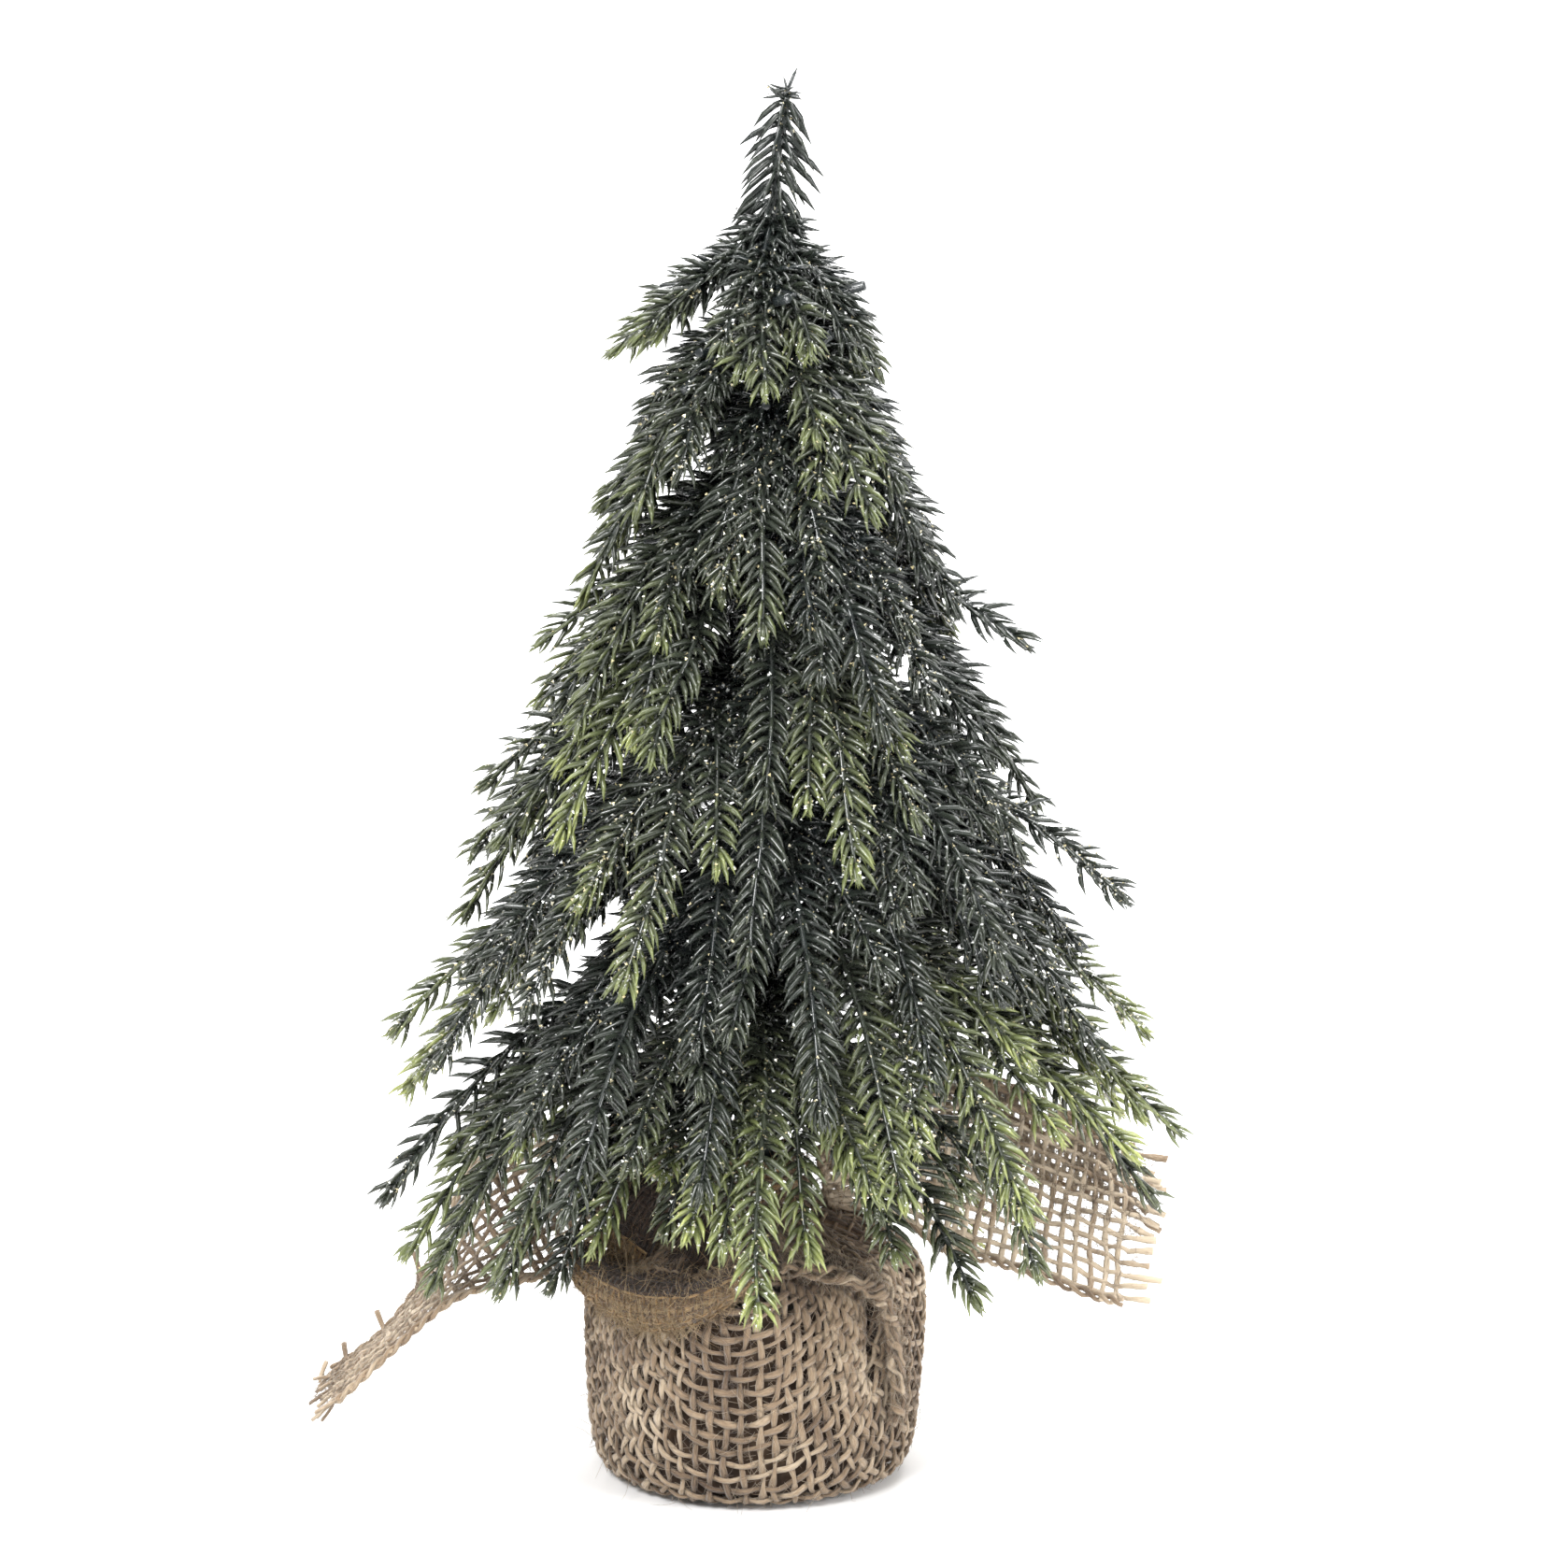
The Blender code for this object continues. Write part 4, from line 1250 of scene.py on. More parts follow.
@dataclass
class BurlapWrap:
    """The square of hessian under and round the base, woven yarn by yarn, and its gathers on top.

    The cloth is laid from the middle of the underside outwards. It stays square to the base in the
    middle of each of its four sides, and crowds together towards its corners.
    """

    warp_pitch: float = 3.7
    weft_pitch: float = 3.2
    half_width: float = 0.74
    half_height: float = 0.43
    sway: float = 0.44
    reach: float = 95.0
    turn: float = -6.0
    sunk: float = 0.5
    slit: tuple[float, float] = (-0.8, 3.8)
    profile: Rows = ((0, 0), (31, 0), (34, 2.2), (35.8, 9), (37.2, 30), (36.8, 45), (32.9, 50.2), (24, 53),
                     (12, 56.5), (8, 60), (8, 71))
    outline: Points = field(init=False)

    def __post_init__(self) -> None:
        """Rounds the profile's corners and measures it."""
        line = np.array(self.profile, float)
        for _ in range(4):
            cut = np.stack([line[:-1] * 0.78 + line[1:] * 0.22, line[:-1] * 0.22 + line[1:] * 0.78], axis=1)
            line = np.concatenate([line[:1], cut.reshape(-1, 2), line[-1:]])
        run = np.concatenate(([0], np.cumsum(np.linalg.norm(np.diff(line, axis=0), axis=1))))
        ahead = np.gradient(line, axis=0)
        normal = unit(np.stack([ahead[:, 1], -ahead[:, 0]], axis=1))
        self.outline = np.concatenate([run[:, None], line, normal], axis=1)

    def at(self, run: Numbers) -> tuple[Numbers, Numbers, Numbers, Numbers]:
        """Reads the profile.

        Args:
            run: distances along it from the middle of the underside.

        Returns:
            Radius, height, and the outward direction's level and upright parts.
        """
        place, *columns = self.outline.T
        radius, height, out, rise = (np.interp(run, place, column) for column in columns)
        return radius, height, out, rise

    @staticmethod
    def angle_of(across: Numbers, down: Numbers) -> Numbers:
        """Finds, by halving, the angle at which a place on the flat cloth ends up round the base.

        Args:
            across: distance from the middle line of its side of the cloth.
            down: distance from the cloth's middle along that line.

        Returns:
            Angle from the middle of the side, up to an eighth of a turn.
        """
        eighth = math.pi / 4
        low, high = np.zeros_like(across), np.full_like(across, eighth)
        for _ in range(30):
            middle = (low + high) / 2
            run = down / np.cos(middle)
            ease = np.minimum(1, 37.0 / np.maximum(run, 1e-6))
            spread = ease * middle + (math.sin(eighth) - ease * eighth) * (middle / eighth) ** 3
            over = run * spread > across
            high, low = np.where(over, middle, high), np.where(over, low, middle)
        return (low + high) / 2

    def lay(self, x: Numbers, y: Numbers, lift: Numbers) -> tuple[Points, Points]:
        """Lays flat cloth on the base.

        Args:
            x: places across the flat cloth.
            y: places up the flat cloth, whose negative side goes to the front.
            lift: distance off the cloth's middle.

        Returns:
            (n, 3) points and (n, 3) outward normals.
        """
        swap = np.abs(x) > np.abs(y)
        across = np.where(swap, np.abs(y), np.abs(x))
        down = np.maximum(np.where(swap, np.abs(x), np.abs(y)), 1e-4)
        theta = self.angle_of(across, down)
        run = down / np.cos(theta)
        east = np.where(swap, np.cos(theta), np.sin(theta)) * np.sign(x)
        north = np.where(swap, np.sin(theta), np.cos(theta)) * np.sign(y)
        turn = math.radians(self.turn)
        way = np.stack([east * math.cos(turn) - north * math.sin(turn),
                        east * math.sin(turn) + north * math.cos(turn)], axis=1)
        radius, height, out, rise = self.at(run)
        normal = np.concatenate([way * out[:, None], rise[:, None]], axis=1)
        point = np.concatenate([way * radius[:, None], height[:, None]], axis=1)
        azimuth = np.arctan2(way[:, 1], way[:, 0])
        slack = np.clip((height - 12) / 40, 0, 1) * out
        fold = slack * (0.7 * np.sin(azimuth * 7 + 1.0) + 0.5 * np.sin(azimuth * 13 + height * 0.05))
        window = np.clip((height - 24) / 6, 0, 1) * np.clip((50 - height) / 5, 0, 1)
        fold -= self.slit[1] * np.exp(-((azimuth - self.slit[0]) / 0.04) ** 2) * window
        sunk = self.sunk + 0.4 * np.clip(-rise, 0, 1)
        return point + normal * (lift + fold - sunk)[:, None], normal

    def weave(self, heap: Heap) -> None:
        """Adds every warp and weft yarn, each over and under its neighbours in turn.

        Args:
            heap: takes them.
        """
        draw = np.random.default_rng(21)
        for lengthwise in (False, True):
            own, other = ((self.warp_pitch, self.weft_pitch) if lengthwise else
                          (self.weft_pitch, self.warp_pitch))
            half = int(self.reach / own)
            for i in range(-half, half):
                middle = (i + 0.5) * own
                if abs(middle) > self.reach - 6:
                    continue
                end = math.sqrt(self.reach**2 - middle**2)
                along = np.arange(-end, end, other / 3)
                seed = 1000 * lengthwise + i + 500
                drift = middle + ripple(along, 26, seed) * 0.7 + ripple(along, 90, seed + 1) * 0.8
                side = (-1) ** i * (-1.0 if lengthwise else 1.0)
                lift = side * self.sway * np.sin(math.pi * along / other)
                x, y = (drift, along) if lengthwise else (along, drift)
                path, normal = self.lay(x, y, lift)
                slub = 1 + 0.32 * ripple(along, 11, seed + 2) + 0.16 * draw.normal()
                wide = np.clip(self.half_width * (1.06 if lengthwise else 0.92) * slub, 0.4, 1.2)
                tubes(heap, path[None], normal[None], wide[None], np.full_like(wide, self.half_height)[None],
                      draw.uniform(0.25, 0.75), sides=5, shift=draw.uniform(0, 500))

    def gathers(self, heap: Heap) -> tuple[Points, Points]:
        """Adds the pleats from the shoulder to the neck, and the ruffled end above the collar.

        Args:
            heap: takes them.

        Returns:
            (nu, nv, 3) points and (nu, nv, 3) normals on them.
        """
        turns = np.linspace(0, 2 * math.pi, 288, endpoint=False)[:, None]
        run = np.linspace(86, self.outline[-1, 0] - 1, 34)[None]
        radius, height, out, rise = self.at(run)
        share = (run - run.min()) / (run.max() - run.min())
        pleat = (np.sin(turns * 17 + 0.8 * np.sin(turns * 3)) + 0.6 * np.sin(turns * 29 + 1.3)
                 + 0.35 * np.sin(turns * 7 + 2))
        depth = np.interp(share, (0, 0.12, 0.45, 0.7, 1), (0.1, 0.7, 1.5, 0.8, 0.9))
        lift = pleat * depth - 0.2 + 0.8 * np.sin(share * 9 + turns * 5) * np.sin(share * math.pi)
        r = radius + out * lift
        z = height + rise * lift
        way = np.stack([np.cos(turns), np.sin(turns), turns * 0], axis=-1)
        grid = way * r[..., None] + UP * z[..., None]
        # The tone follows the pleats: painted light on their outward crests and painted shade in the folds
        # between them.
        normal = shell(heap, grid, 0.9, 0.15 + 0.25 * pleat * np.ones_like(share), ring=True)
        return grid, normal

    def build(self, yarn: bpy.types.Material, cloth: bpy.types.Material) -> bpy.types.Object:
        """Builds the wrap, its gathers and its loose fibres, in place of the CAD cloth.

        Args:
            yarn: material of the separate yarns and fibres.
            cloth: material of the gathered cloth.

        Returns:
            The woven piece.
        """
        heap = Heap()
        self.weave(heap)
        woven = heap.piece("burlap_weave", yarn)
        heap = Heap()
        grid, normal = self.gathers(heap)
        gathers = heap.piece("burlap_gathers", cloth)
        heap = Heap()
        darn(heap, grid, normal, (2, 3), 0.42, 36, tones=(0.0, 0.5), ring=True)
        drawn = heap.piece("gathered_yarns", yarn)
        points, normals = grid.reshape(-1, 3), normal.reshape(-1, 3)
        heap = Heap()
        draw = np.random.default_rng(33)
        x, y = draw.uniform(-self.reach, self.reach, (2, 13000))
        keep = (np.hypot(x, y) < self.reach) & (np.hypot(x, y) > 34)
        place, normal = self.lay(x[keep], y[keep], np.full(keep.sum(), 0.2))
        fibres(heap, place, normal, (1.6, 4.8), 34, girth=0.08, lift=0.08, joints=3, tones=(0.1, 0.8))
        place, normal = self.lay(*draw.uniform(-70, 70, (2, 500)), np.full(500, 0.5))
        fibres(heap, place, normal, (4.0, 9.0), 37, girth=0.055, lift=0.35, joints=5)
        pick = draw.integers(0, len(points), 900)
        fibres(heap, points[pick], normals[pick], (3.0, 9.0), 35, girth=0.06, lift=0.4)
        loose = heap.piece("burlap_fibres", yarn)
        for made in (woven, gathers, drawn, loose):
            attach(made, "base")
        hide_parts("burlap_wrap")
        return woven


@dataclass
class Collar:
    """The ribbon's loop round the neck: a bunched band with creases along it."""

    low: float = 59.5
    top: float = 70.5
    inner: float = 8.4
    outer: float = 12.3

    def build(self, cloth: bpy.types.Material, yarn: bpy.types.Material) -> None:
        """Builds it in place of its CAD node.

        Args:
            cloth: material of the bunched cloth.
            yarn: material of the separate yarns and fibres.
        """
        turns = np.linspace(0, 2 * math.pi, 180, endpoint=False)[:, None]
        v = np.linspace(0, 1, 22)[None]
        z = self.low + (self.top - self.low) * v
        crease = 0.5 * np.sin(v * 19 + 1.4 * np.sin(turns * 2)) + 0.35 * np.sin(turns * 9 + v * 6)
        round_over = np.sqrt(np.sin(np.clip(v, 0.02, 0.98) * math.pi))
        r = self.inner + (self.outer - self.inner) * round_over + crease * 0.6
        way = np.stack([np.cos(turns), np.sin(turns), turns * 0], axis=-1)
        grid = way * r[..., None] + UP * (z + turns * 0)[..., None]
        heap = Heap()
        # The tone follows the creases: painted light on their ridges and painted shade in the hollows between
        # them.
        normal = shell(heap, grid, 0.8, 0.3 + 0.2 * crease, ring=True)
        made = heap.piece("collar_band", cloth)
        draw = np.random.default_rng(41)
        pick = draw.integers(0, grid.shape[0] * grid.shape[1], 900)
        heap = Heap()
        darn(heap, grid, normal, (6, 3), 0.4, 43, tones=(0.0, 0.5), ring=True)
        fibres(heap, grid.reshape(-1, 3)[pick], normal.reshape(-1, 3)[pick], (3, 8), 42, girth=0.06)
        loose = heap.piece("collar_fibres", yarn)
        for each in (made, loose):
            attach(each, "base")
        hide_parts("ribbon_collar")


@dataclass
class Knot:
    """The ribbon's knot: a fold, hollow behind a thick rolled lip, and a puff that meets the left tail."""

    azimuths: tuple[float, float] = (203.0, 272.0)
    profile: Rows = ((12.5, 67), (16.5, 62.4), (20.5, 57.8), (26, 52.4), (31.5, 50.0), (35.8, 49.2),
                     (38.8, 51.0), (41.6, 51.8), (43.9, 49.6), (44.0, 46.2), (41.8, 43.4), (39.6, 43.6))
    lip: Rows = ((0, 5.5), (0.25, 0.3), (0.5, -2.6), (0.75, 1.0), (1, 9.5))
    puff: Rows = ((11, 69), (18, 69.5), (26, 66), (31.5, 60), (34, 54), (33, 50.5))

    def fold(self) -> Points:
        """Shapes the main fold, from the neck out over the shoulder and under its lip.

        Returns:
            (nu, nv, 3) points.
        """
        u = np.linspace(0, 1, 100)[:, None] * np.ones((1, 66))
        v = np.linspace(0, 1, 66)[None] * np.ones((100, 1))
        rows = through(np.array(self.profile, float), v[0])
        turn = np.radians(self.azimuths[0] + u * (self.azimuths[1] - self.azimuths[0]))
        crease = np.sin(u * 12 + 2.5 * v + np.sin(v * 5)) + 0.5 * np.sin(u * 27 - 4 * v)
        swell = np.interp(v, (0, 0.3, 0.6, 1), (0.9, 1.0, 0.35, 0.1))
        dip = through(np.array(self.lip, float)[:, 1:], u[:, 0])[:, 0][:, None] * v**2
        draw_in = np.interp(u, (0, 0.12, 0.7, 1), (0.9, 1, 1, 0.66))
        radius = 12.5 + (rows[:, 0][None] - 12.5) * draw_in + 0.5 * np.sin(u * 9) * v + crease * swell
        height = rows[:, 1][None] + dip + 0.6 * crease * swell
        return np.stack([radius * np.cos(turn), radius * np.sin(turn), height], axis=-1)[::-1]

    def tuck(self) -> Points:
        """Shapes the puff at the left, where the ribbon leaves the knot for its tail.

        Returns:
            (nu, nv, 3) points.
        """
        u = np.linspace(0, 1, 60)[:, None] * np.ones((1, 44))
        v = np.linspace(0, 1, 44)[None] * np.ones((60, 1))
        rows = through(np.array(self.puff, float), v[0])
        turn = np.radians(184 + 34 * u + 3 * np.sin(v * 4))
        crease = np.sin(u * 9 + 3 * v) + 0.4 * np.sin(u * 21)
        round_over = np.sin(math.pi * np.clip(u, 0.02, 0.98)) ** 0.5
        radius = rows[:, 0][None] * (0.86 + 0.14 * round_over) + 0.7 * crease
        height = rows[:, 1][None] - 5.0 * (1 - round_over) * (0.3 + v) + 0.5 * crease
        return np.stack([radius * np.cos(turn), radius * np.sin(turn), height], axis=-1)[::-1]

    def build(self, cloth: bpy.types.Material, yarn: bpy.types.Material) -> None:
        """Builds it in place of its CAD node.

        Args:
            cloth: material of the bunched cloth.
            yarn: material of the separate yarns and fibres.
        """
        felt, woven, loose = Heap(), Heap(), Heap()
        draw = np.random.default_rng(51)
        for k, (grid, amount) in enumerate(((self.fold(), 4200), (self.tuck(), 1300))):
            # The cloth's tone is painted shade in the hollow behind the lip, over the first two thirds of v,
            # and painted light on the lip's rolled edge.
            hollow = np.interp(np.linspace(0, 1, grid.shape[1]), (0, 0.2, 0.67, 0.76, 1),
                               (-0.4, -0.8, -0.8, 0.8, 0.5))
            normal = shell(felt, grid, 1.5, np.broadcast_to(hollow, grid.shape[:2]))
            rim = int(0.7 * grid.shape[1])
            # Yarns in the hollow get dark tones as painted shade, and yarns on the lip pale tones as painted
            # light.
            darn(woven, grid[:, :rim], normal[:, :rim], (3, 3), 0.36, 700 + k * 100, tones=(-0.9, -0.5))
            darn(woven, grid[:, rim:], normal[:, rim:], (3, 3), 0.3, 750 + k * 100, tones=(0.2, 0.6))
            points, normals = grid.reshape(-1, 3), normal.reshape(-1, 3)
            pick = draw.integers(0, len(points), amount)
            inside = pick % grid.shape[1] < rim
            # Fibres in the hollow get dark tones as painted shade, and fibres on the lip pale tones as
            # painted light.
            fibres(loose, points[pick[inside]], normals[pick[inside]], (2.0, 6.0), 52 + k, girth=0.06,
                   lift=0.15, tones=(-0.9, -0.1))
            fibres(loose, points[pick[~inside]], normals[pick[~inside]], (2.0, 6.0), 54 + k, girth=0.07,
                   lift=0.22, tones=(0.6, 1.4))
            pick = pick[: amount // 10]
            fibres(loose, points[pick], normals[pick], (6.0, 13.0), 58 + k, girth=0.05, lift=0.7)
        made = [felt.piece("knot_fold", cloth), woven.piece("knot_yarns", yarn),
                loose.piece("knot_fibres", yarn)]
        for each in made:
            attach(each, "base")
        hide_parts("ribbon_knot")


@dataclass
class OverlapHem:
    """The loose hem where the cloth laps over itself: a braid of looped yarns down the front right."""

    line: Rows = ((282, 53.5, 32), (296, 52.4, 35), (308, 50, 37.4), (316, 45, 38.4), (320, 37, 38.7),
                  (322.5, 27, 38.7), (324, 17.5, 38.3))

    def build(self, yarn: bpy.types.Material) -> None:
        """Builds it in place of its CAD node, along its line of azimuth, height and radius.

        Args:
            yarn: material of the yarns.
        """
        heap = Heap()
        share = np.linspace(0, 1, 150)
        rows = through(np.array(self.line), share)
        turn = np.radians(rows[:, 0])
        middle = np.stack([rows[:, 2] * np.cos(turn), rows[:, 2] * np.sin(turn), rows[:, 1]], axis=1)
        normal = unit(np.stack([np.cos(turn), np.sin(turn), np.interp(share, (0, 0.4), (1.5, 0))], axis=1))
        side = unit(np.cross(normal, np.gradient(middle, axis=0)))
        draw = np.random.default_rng(61)
        for k in range(6):
            phase = k * 2 * math.pi / 3 + (k > 2) * 0.9
            beat = share * 24 + 1.1 * ripple(share * 62, 12, 70 + k) + phase
            spread = 1.4 + 0.6 * ripple(share * 62, 9, 65 + k)
            path = (middle + side * (spread * np.sin(beat))[:, None]
                    + normal * (0.5 + np.cos(beat))[:, None])
            wide = 0.66 * (1 + 0.4 * ripple(share * 62, 6, 60 + k))
            tubes(heap, path[None], normal[None], wide[None], wide[None] * 0.8, draw.uniform(0.0, 0.7),
                  sides=6, shift=k * 40)
            fibres(heap, path, normal, (2.0, 6.0), 75 + k, lift=0.2)
        made = heap.piece("hem_braid", yarn)
        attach(made, "base")
        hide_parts("wrap_overlap_edge")


@dataclass
class RibbonTail:
    """A tail of the burlap ribbon, woven open, with a looped selvage and a frayed end."""

    body: str
    stations: Rows
    seed: int
    warp: int = 13
    weft_pitch: float = 3.4
    half_width: float = 0.55
    half_height: float = 0.4
    sway: float = 0.38
    fringe: float = 8.5
    hairs: int = 1400
    tones: tuple[float, float] = (0.2, 0.8)
    woven_to: float = 0.95
    skew: float = 0.0
    folded: int = 0
    snags: int = 0

    def surface(self, u: Numbers, v: Numbers) -> tuple[Points, Points]:
        """Reads the tail's middle surface.

        Args:
            u: shares along the tail.
            v: shares across it.

        Returns:
            (n, 3) points and (n, 3) normals.
        """
        rows = np.array(self.stations, float)
        u = u + self.skew * (0.5 - v) * np.clip(u, 0, 1)
        at = through(rows, u)
        ahead = unit(through(rows, u + 0.01)[:, :3] - through(rows, u - 0.01)[:, :3])
        up = unit(UP - ahead * ahead[:, 2:])
        back = np.array((0.0, 1.0, 0.0)) - ahead * ahead[:, 1:2]
        back = unit(back - up * (back * up).sum(1, keepdims=True))
        tilt = np.radians(at[:, 4:])
        across = up * np.cos(tilt) + back * np.sin(tilt)
        flutter = np.sin(u * 7 + v * 2.3 + self.seed) * 1.1 + np.sin(u * 15 - v * 4) * 0.5
        flutter *= np.clip(u * 2, 0, 1)
        normal = unit(np.cross(across, ahead)) * (1 if rows[-1, 0] > 0 else -1)
        point = at[:, :3] + across * (at[:, 3] * (2 * v - 1))[:, None] + normal * flutter[:, None]
        return point, normal

    def length(self) -> float:
        """Measures the tail along its middle.

        Returns:
            Its length in millimetres.
        """
        u = np.linspace(0, 1, 80)
        line, _ = self.surface(u, np.full(80, 0.5))
        return float(np.linalg.norm(np.diff(line, axis=0), axis=1).sum())

    def layer(self, heap: Heap, first: int = 0, shift: float = 0.5, behind: float = 0.0) -> None:
        """Adds the warp along the tail and the weft across it.

        Args:
            heap: takes the yarns.
            first: number of the warp yarn that the layer starts from.
            shift: where in its own step each warp yarn lies.
            behind: how far behind the tail's face the layer lies.
        """
        draw = np.random.default_rng(self.seed + first)
        length = self.length()
        low = first / self.warp
        for j in range(first, self.warp):
            v = (j + shift) / self.warp
            beyond = self.fringe / length * draw.uniform(0.55, 1.1)
            u = np.linspace(0, self.woven_to + beyond, int(length / 1.15))
            weave = np.sin(math.pi * (u * length / self.weft_pitch - 0.5)) * (-1) ** j
            past = np.clip(u - self.woven_to, 0, None) * length
            calm = np.exp(-past / 1.5)
            stray = ripple(u * length, 22, self.seed + j) * 0.45 * calm + draw.normal(0, 0.16) * past
            drift = v + stray / 40
            path, normal = self.surface(u, drift)
            path = path + normal * (weave * self.sway * calm + draw.normal(0, 0.2) * past + behind)[:, None]
            slub = 1 + 0.26 * ripple(u * length, 8, self.seed + 40 + j)
            wide = self.half_width * slub * (1 + 0.55 * np.clip(past / 6, 0, 1))
            tubes(heap, path[None], normal[None], wide[None],
                  np.full_like(wide, self.half_height)[None], draw.uniform(*self.tones),
                  shift=draw.uniform(0, 300))
        for i in range(int(length * self.woven_to / self.weft_pitch) + 1):
            v = np.linspace(low - 0.012, 1.012, 40)
            middle = (i + 0.5 - shift) * self.weft_pitch / length
            u = middle + ripple(v * 40, 24, self.seed + 200 + i) * 0.45 / length
            path, normal = self.surface(u, v)
            lift = -np.sin(math.pi * v * self.warp) * self.sway * (-1) ** i + behind
            path = path + normal * lift[:, None]
            wide = self.half_width * (1 + 0.26 * ripple(v * 40, 8, self.seed + 300 + i))
            tubes(heap, path[None], normal[None], wide[None],
                  np.full_like(wide, self.half_height)[None], draw.uniform(*self.tones),
                  shift=draw.uniform(0, 300))

    def selvages(self, heap: Heap) -> None:
        """Adds the looped yarns down both edges.

        Args:
            heap: takes them.
        """
        draw = np.random.default_rng(self.seed + 9)
        length = self.length()
        for edge in (0.0, 1.0):
            for k in range(2):
                u = np.linspace(0, self.woven_to, int(length / 0.9))
                bend = np.sin(math.pi * u * length / self.weft_pitch + k * math.pi)
                v = edge + (bend * 0.75 + (0.2 - edge * 0.4)) / 40
                path, normal = self.surface(u, v)
                stand = 0.5 * np.cos(math.pi * u * length / self.weft_pitch + k * math.pi)
                path = path + normal * stand[:, None]
                wide = np.full(len(u), 0.55)
                tubes(heap, path[None], normal[None], wide[None], wide[None], draw.uniform(0.4, 0.8),
                      shift=k * 50)

    def loose_ends(self, heap: Heap) -> None:
        """Adds the cut ends of weft that stand up from the far edge.

        Args:
            heap: takes them.
        """
        draw = np.random.default_rng(self.seed + 5)
        for u in draw.uniform(0.5, 1.02, self.snags):
            path, normal = self.surface(np.full(9, u), np.linspace(0.9, 1.03, 9))
            rise = draw.uniform(2.0, 4.2) * np.linspace(0, 1, 9)[:, None] ** 2
            path = path + (UP + draw.normal(0, 0.4, 3)) * rise
            wide = np.linspace(0.5, 0.75, 9)
            tubes(heap, path[None], normal[None], wide[None], wide[None] * 0.8, draw.uniform(0.3, 0.8))

    def build(self, yarn: bpy.types.Material) -> None:
        """Builds the tail and its loose fibres, in place of its CAD node.

        Args:
            yarn: material of the yarns and fibres.
        """
        heap = Heap()
        self.layer(heap)
        if self.folded:
            self.layer(heap, self.warp - self.folded, 0.0, 1.3)
        self.selvages(heap)
        self.loose_ends(heap)
        woven = heap.piece(self.body.replace("ribbon", "woven"), yarn)
        draw = np.random.default_rng(self.seed + 1)
        heap = Heap()
        crowding = 0.55 if self.folded else 1.0
        u, v = draw.uniform(0, 1, self.hairs), draw.uniform(0, 1, self.hairs) ** crowding
        place, normal = self.surface(u, v)
        normal = normal * np.where(draw.random(self.hairs) < 0.4, 1, -1)[:, None]
        fibres(heap, place, normal, (2.5, 8.0), self.seed + 2, lift=0.2)
        loose = heap.piece(self.body.replace("ribbon", "fibres"), yarn)
        for made in (woven, loose):
            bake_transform(made)
        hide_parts(self.body)
        self.length() * MM


TAIL_RIGHT: Rows = (
    (15.5, 3, 63.5, 6.5, 5), (30, 7, 66.5, 13, 14), (44, 10, 65.5, 20, 26),
    (58, 10, 61, 20, 38), (72, 8, 55.5, 20, 50), (85, 6, 50.5, 20, 56))
TAIL_LEFT: Rows = (
    (-15.5, 2, 63.5, 6.5, 5), (-32, 4, 64.5, 11, 20), (-50, 5, 56, 18, 48),
    (-64, 3, 43.5, 18, 88), (-79, 0, 28.5, 18, 96), (-94.5, -3, 16.5, 17, 97))


# --- studio ------------------------------------------------------------------------------------------

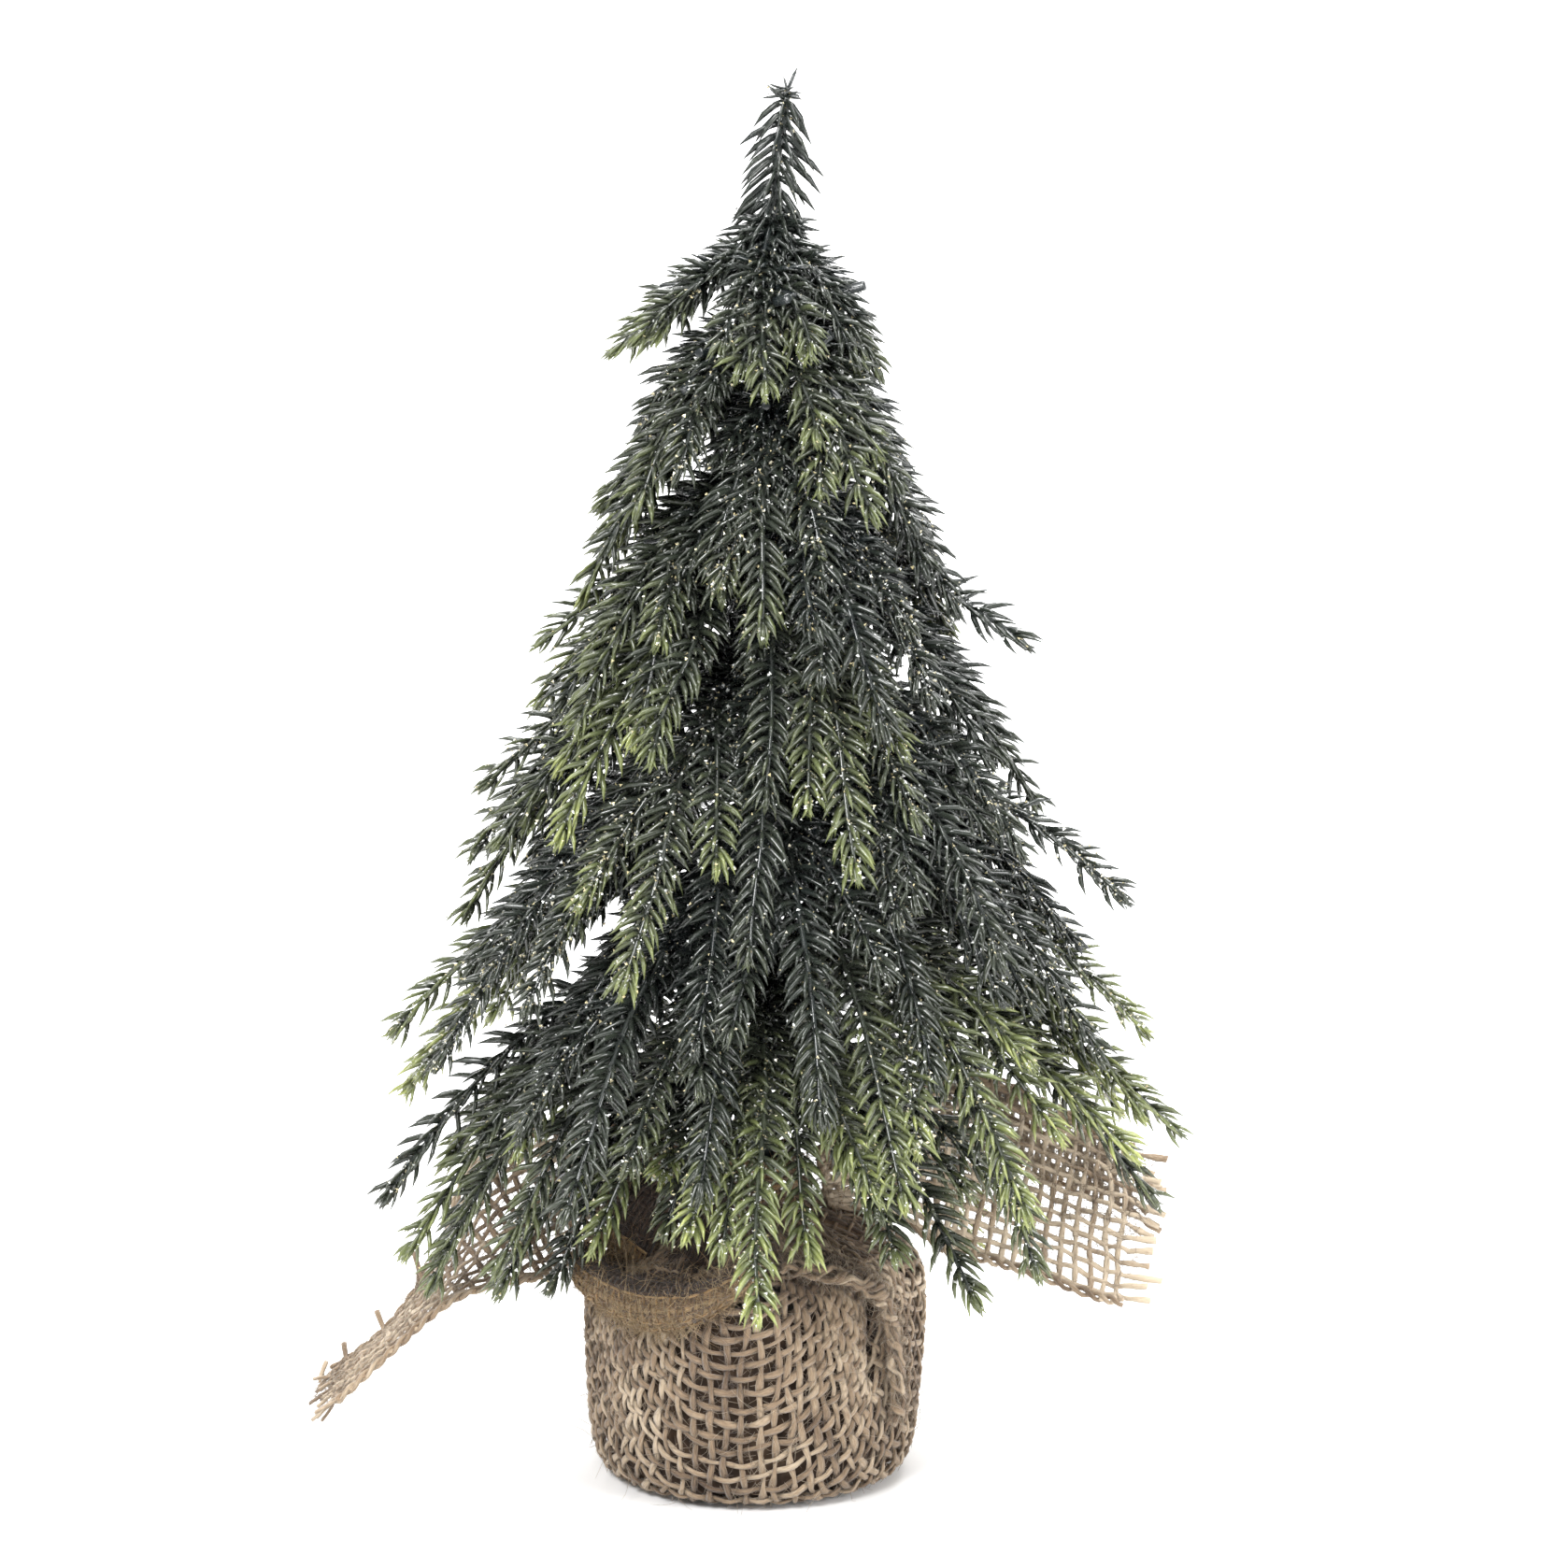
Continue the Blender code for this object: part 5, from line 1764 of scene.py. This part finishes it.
@dataclass
class Studio:
    """A pale sweep of paper, soft boxes and the camera."""

    aim: tuple[float, float, float] = (6.8, 0.0, 152.0)
    elevation: float = 12.0
    distance: float = 1200.0
    lens: float = 128.7
    room: float = 0.5

    def sweep(self) -> None:
        """Adds the floor, which curves up behind to a pale wall."""
        bpy.ops.object.select_all(action="DESELECT")
        bpy.ops.mesh.primitive_plane_add(size=3.2, location=(0, -0.5, -0.0006))
        floor = bpy.context.object
        floor.name = "paper_sweep"
        bpy.ops.object.mode_set(mode="EDIT")
        bpy.ops.mesh.select_mode(type="EDGE")
        bpy.ops.mesh.select_all(action="DESELECT")
        bpy.ops.object.mode_set(mode="OBJECT")
        far = max(v.co.y for v in floor.data.vertices)
        for edge in floor.data.edges:
            edge.select = all(abs(floor.data.vertices[i].co.y - far) < 1e-6 for i in edge.vertices)
        bpy.ops.object.mode_set(mode="EDIT")
        for k in range(9):
            turn = math.radians(10 * k + 5)
            bpy.ops.mesh.extrude_region_move(TRANSFORM_OT_translate={
                "value": (0, 0.09 * math.cos(turn), 0.09 * math.sin(turn))})
        bpy.ops.mesh.extrude_region_move(TRANSFORM_OT_translate={"value": (0, 0, 2.2)})
        bpy.ops.mesh.select_all(action="SELECT")
        bpy.ops.object.mode_set(mode="OBJECT")
        bpy.ops.object.transform_apply(location=True, rotation=True, scale=True)
        floor.data.shade_smooth()
        made = Mottled(name="white_paper", roughness=0.9, dark="#F4F4F4", light="#F8F8F8", mottle=2.0,
                       grain=300.0, depth=0.00005).make()
        floor.data.materials.append(made)

    def lights(self) -> None:
        """Adds a key from the front left above, a fill from the right, a rim and a wash for the wall."""
        world = bpy.data.worlds.new("pale_room")
        world.use_nodes = True
        shade = world.node_tree.nodes["Background"]
        shade.inputs["Color"].default_value = linear("#FFFFFF")
        shade.inputs["Strength"].default_value = self.room
        bpy.context.scene.world = world
        middle = (0.0, 0.0, 0.13)
        for name, place, aim, size, watts in (
                ("key_box", (-0.6, -1.3, 1.3), middle, 0.6, 36),
                ("fill_box", (1.1, -0.8, 0.6), middle, 0.6, 14),
                ("back_box", (0.3, 0.9, 1.3), middle, 0.7, 22),
                ("wall_wash", (0.0, 0.2, 1.9), (0, 1.5, 0.3), 1.2, 45)):
            bpy.ops.object.light_add(type="AREA", location=place)
            light = bpy.context.object
            light.name = name
            light.data.size = size
            light.data.energy = watts
            light.rotation_euler = (Vector(aim) - Vector(place)).to_track_quat("-Z", "Y").to_euler()

    def camera(self) -> None:
        """Adds the camera, looking at the tree's middle from a little above."""
        turn = math.radians(self.elevation)
        aim = Vector(self.aim) * MM
        place = aim + Vector((0, -math.cos(turn), math.sin(turn))) * self.distance * MM
        bpy.ops.object.camera_add(location=place)
        made = bpy.context.object
        made.data.lens = self.lens
        made.data.sensor_width = 36
        made.rotation_euler = (aim - place).to_track_quat("-Z", "Y").to_euler()
        bpy.context.scene.camera = made

    def build(self) -> None:
        """Adds it all."""
        self.sweep()
        self.lights()
        self.camera()
        bpy.context.scene.view_settings.view_transform = "Standard"


def dress_frame() -> None:
    """Gives the CAD nodes that stay their finishes."""
    finishes = {
        "base_cup": Mottled(name="brown_polypropylene", roughness=0.7, dark="#33251A", light="#54402D",
                            mottle=300, grain=1500, depth=0.0003),
        "base_weight": Mottled(name="cast_plaster", roughness=0.92, dark="#C9C4BA", light="#DDD8CE",
                               mottle=120, grain=1600, depth=0.0002),
        "trunk_core_wire": Mottled(name="drawn_steel_wire", roughness=0.35, metallic=1.0, dark="#8C8F92",
                                   light="#B4B7BA", mottle=900, grain=2500, depth=0.00003,
                                   stretch=(1, 1, 0.05)),
        "trunk_tape": FloralTape(),
    }
    for node, finish in finishes.items():
        mesh = frame["nodes"][node].data
        mesh.materials.clear()
        mesh.materials.append(finish.make())
        LOG.info("%s: %s", node, finish.name)


def write_sizes() -> None:
    """Brings the view layer up to date."""
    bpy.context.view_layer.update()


def main() -> None:
    """Builds the tree, its base and the studio."""
    logging.basicConfig(level=logging.INFO, format="%(name)s: %(message)s")
    needles = MouldedPolyethylene().make()
    glints = {glint: GlitterFilm(name=glint.value[0], colour=glint.value[1]).make() for glint in Glint}
    yarn, cloth = JuteYarn().make(), JuteCloth().make()
    dress_frame()
    Fir().build(needles, glints)
    woven = BurlapWrap().build(yarn, cloth)
    felt = JuteCloth(name="jute_hessian_felted", deep="#2E1F13", mid="#7E5F3C", pale="#B39468").make()
    fuzz = JuteYarn(name="jute_yarn_felted", deep="#3D2B1A", mid="#87683F", pale="#C4A87C").make()
    Collar().build(felt, fuzz)
    Knot().build(felt, fuzz)
    OverlapHem().build(yarn)
    RibbonTail("ribbon_tail_right", TAIL_RIGHT, 71, weft_pitch=3.1, skew=0.16, folded=5,
               half_width=0.68, hairs=2400, tones=(0.55, 1.15)).build(yarn)
    RibbonTail("ribbon_tail_left", TAIL_LEFT, 81, half_width=0.7, snags=11, hairs=2600,
               tones=(0.2, 0.85)).build(yarn)
    Studio().build()
    write_sizes()


if __name__ == "__main__":
    main()
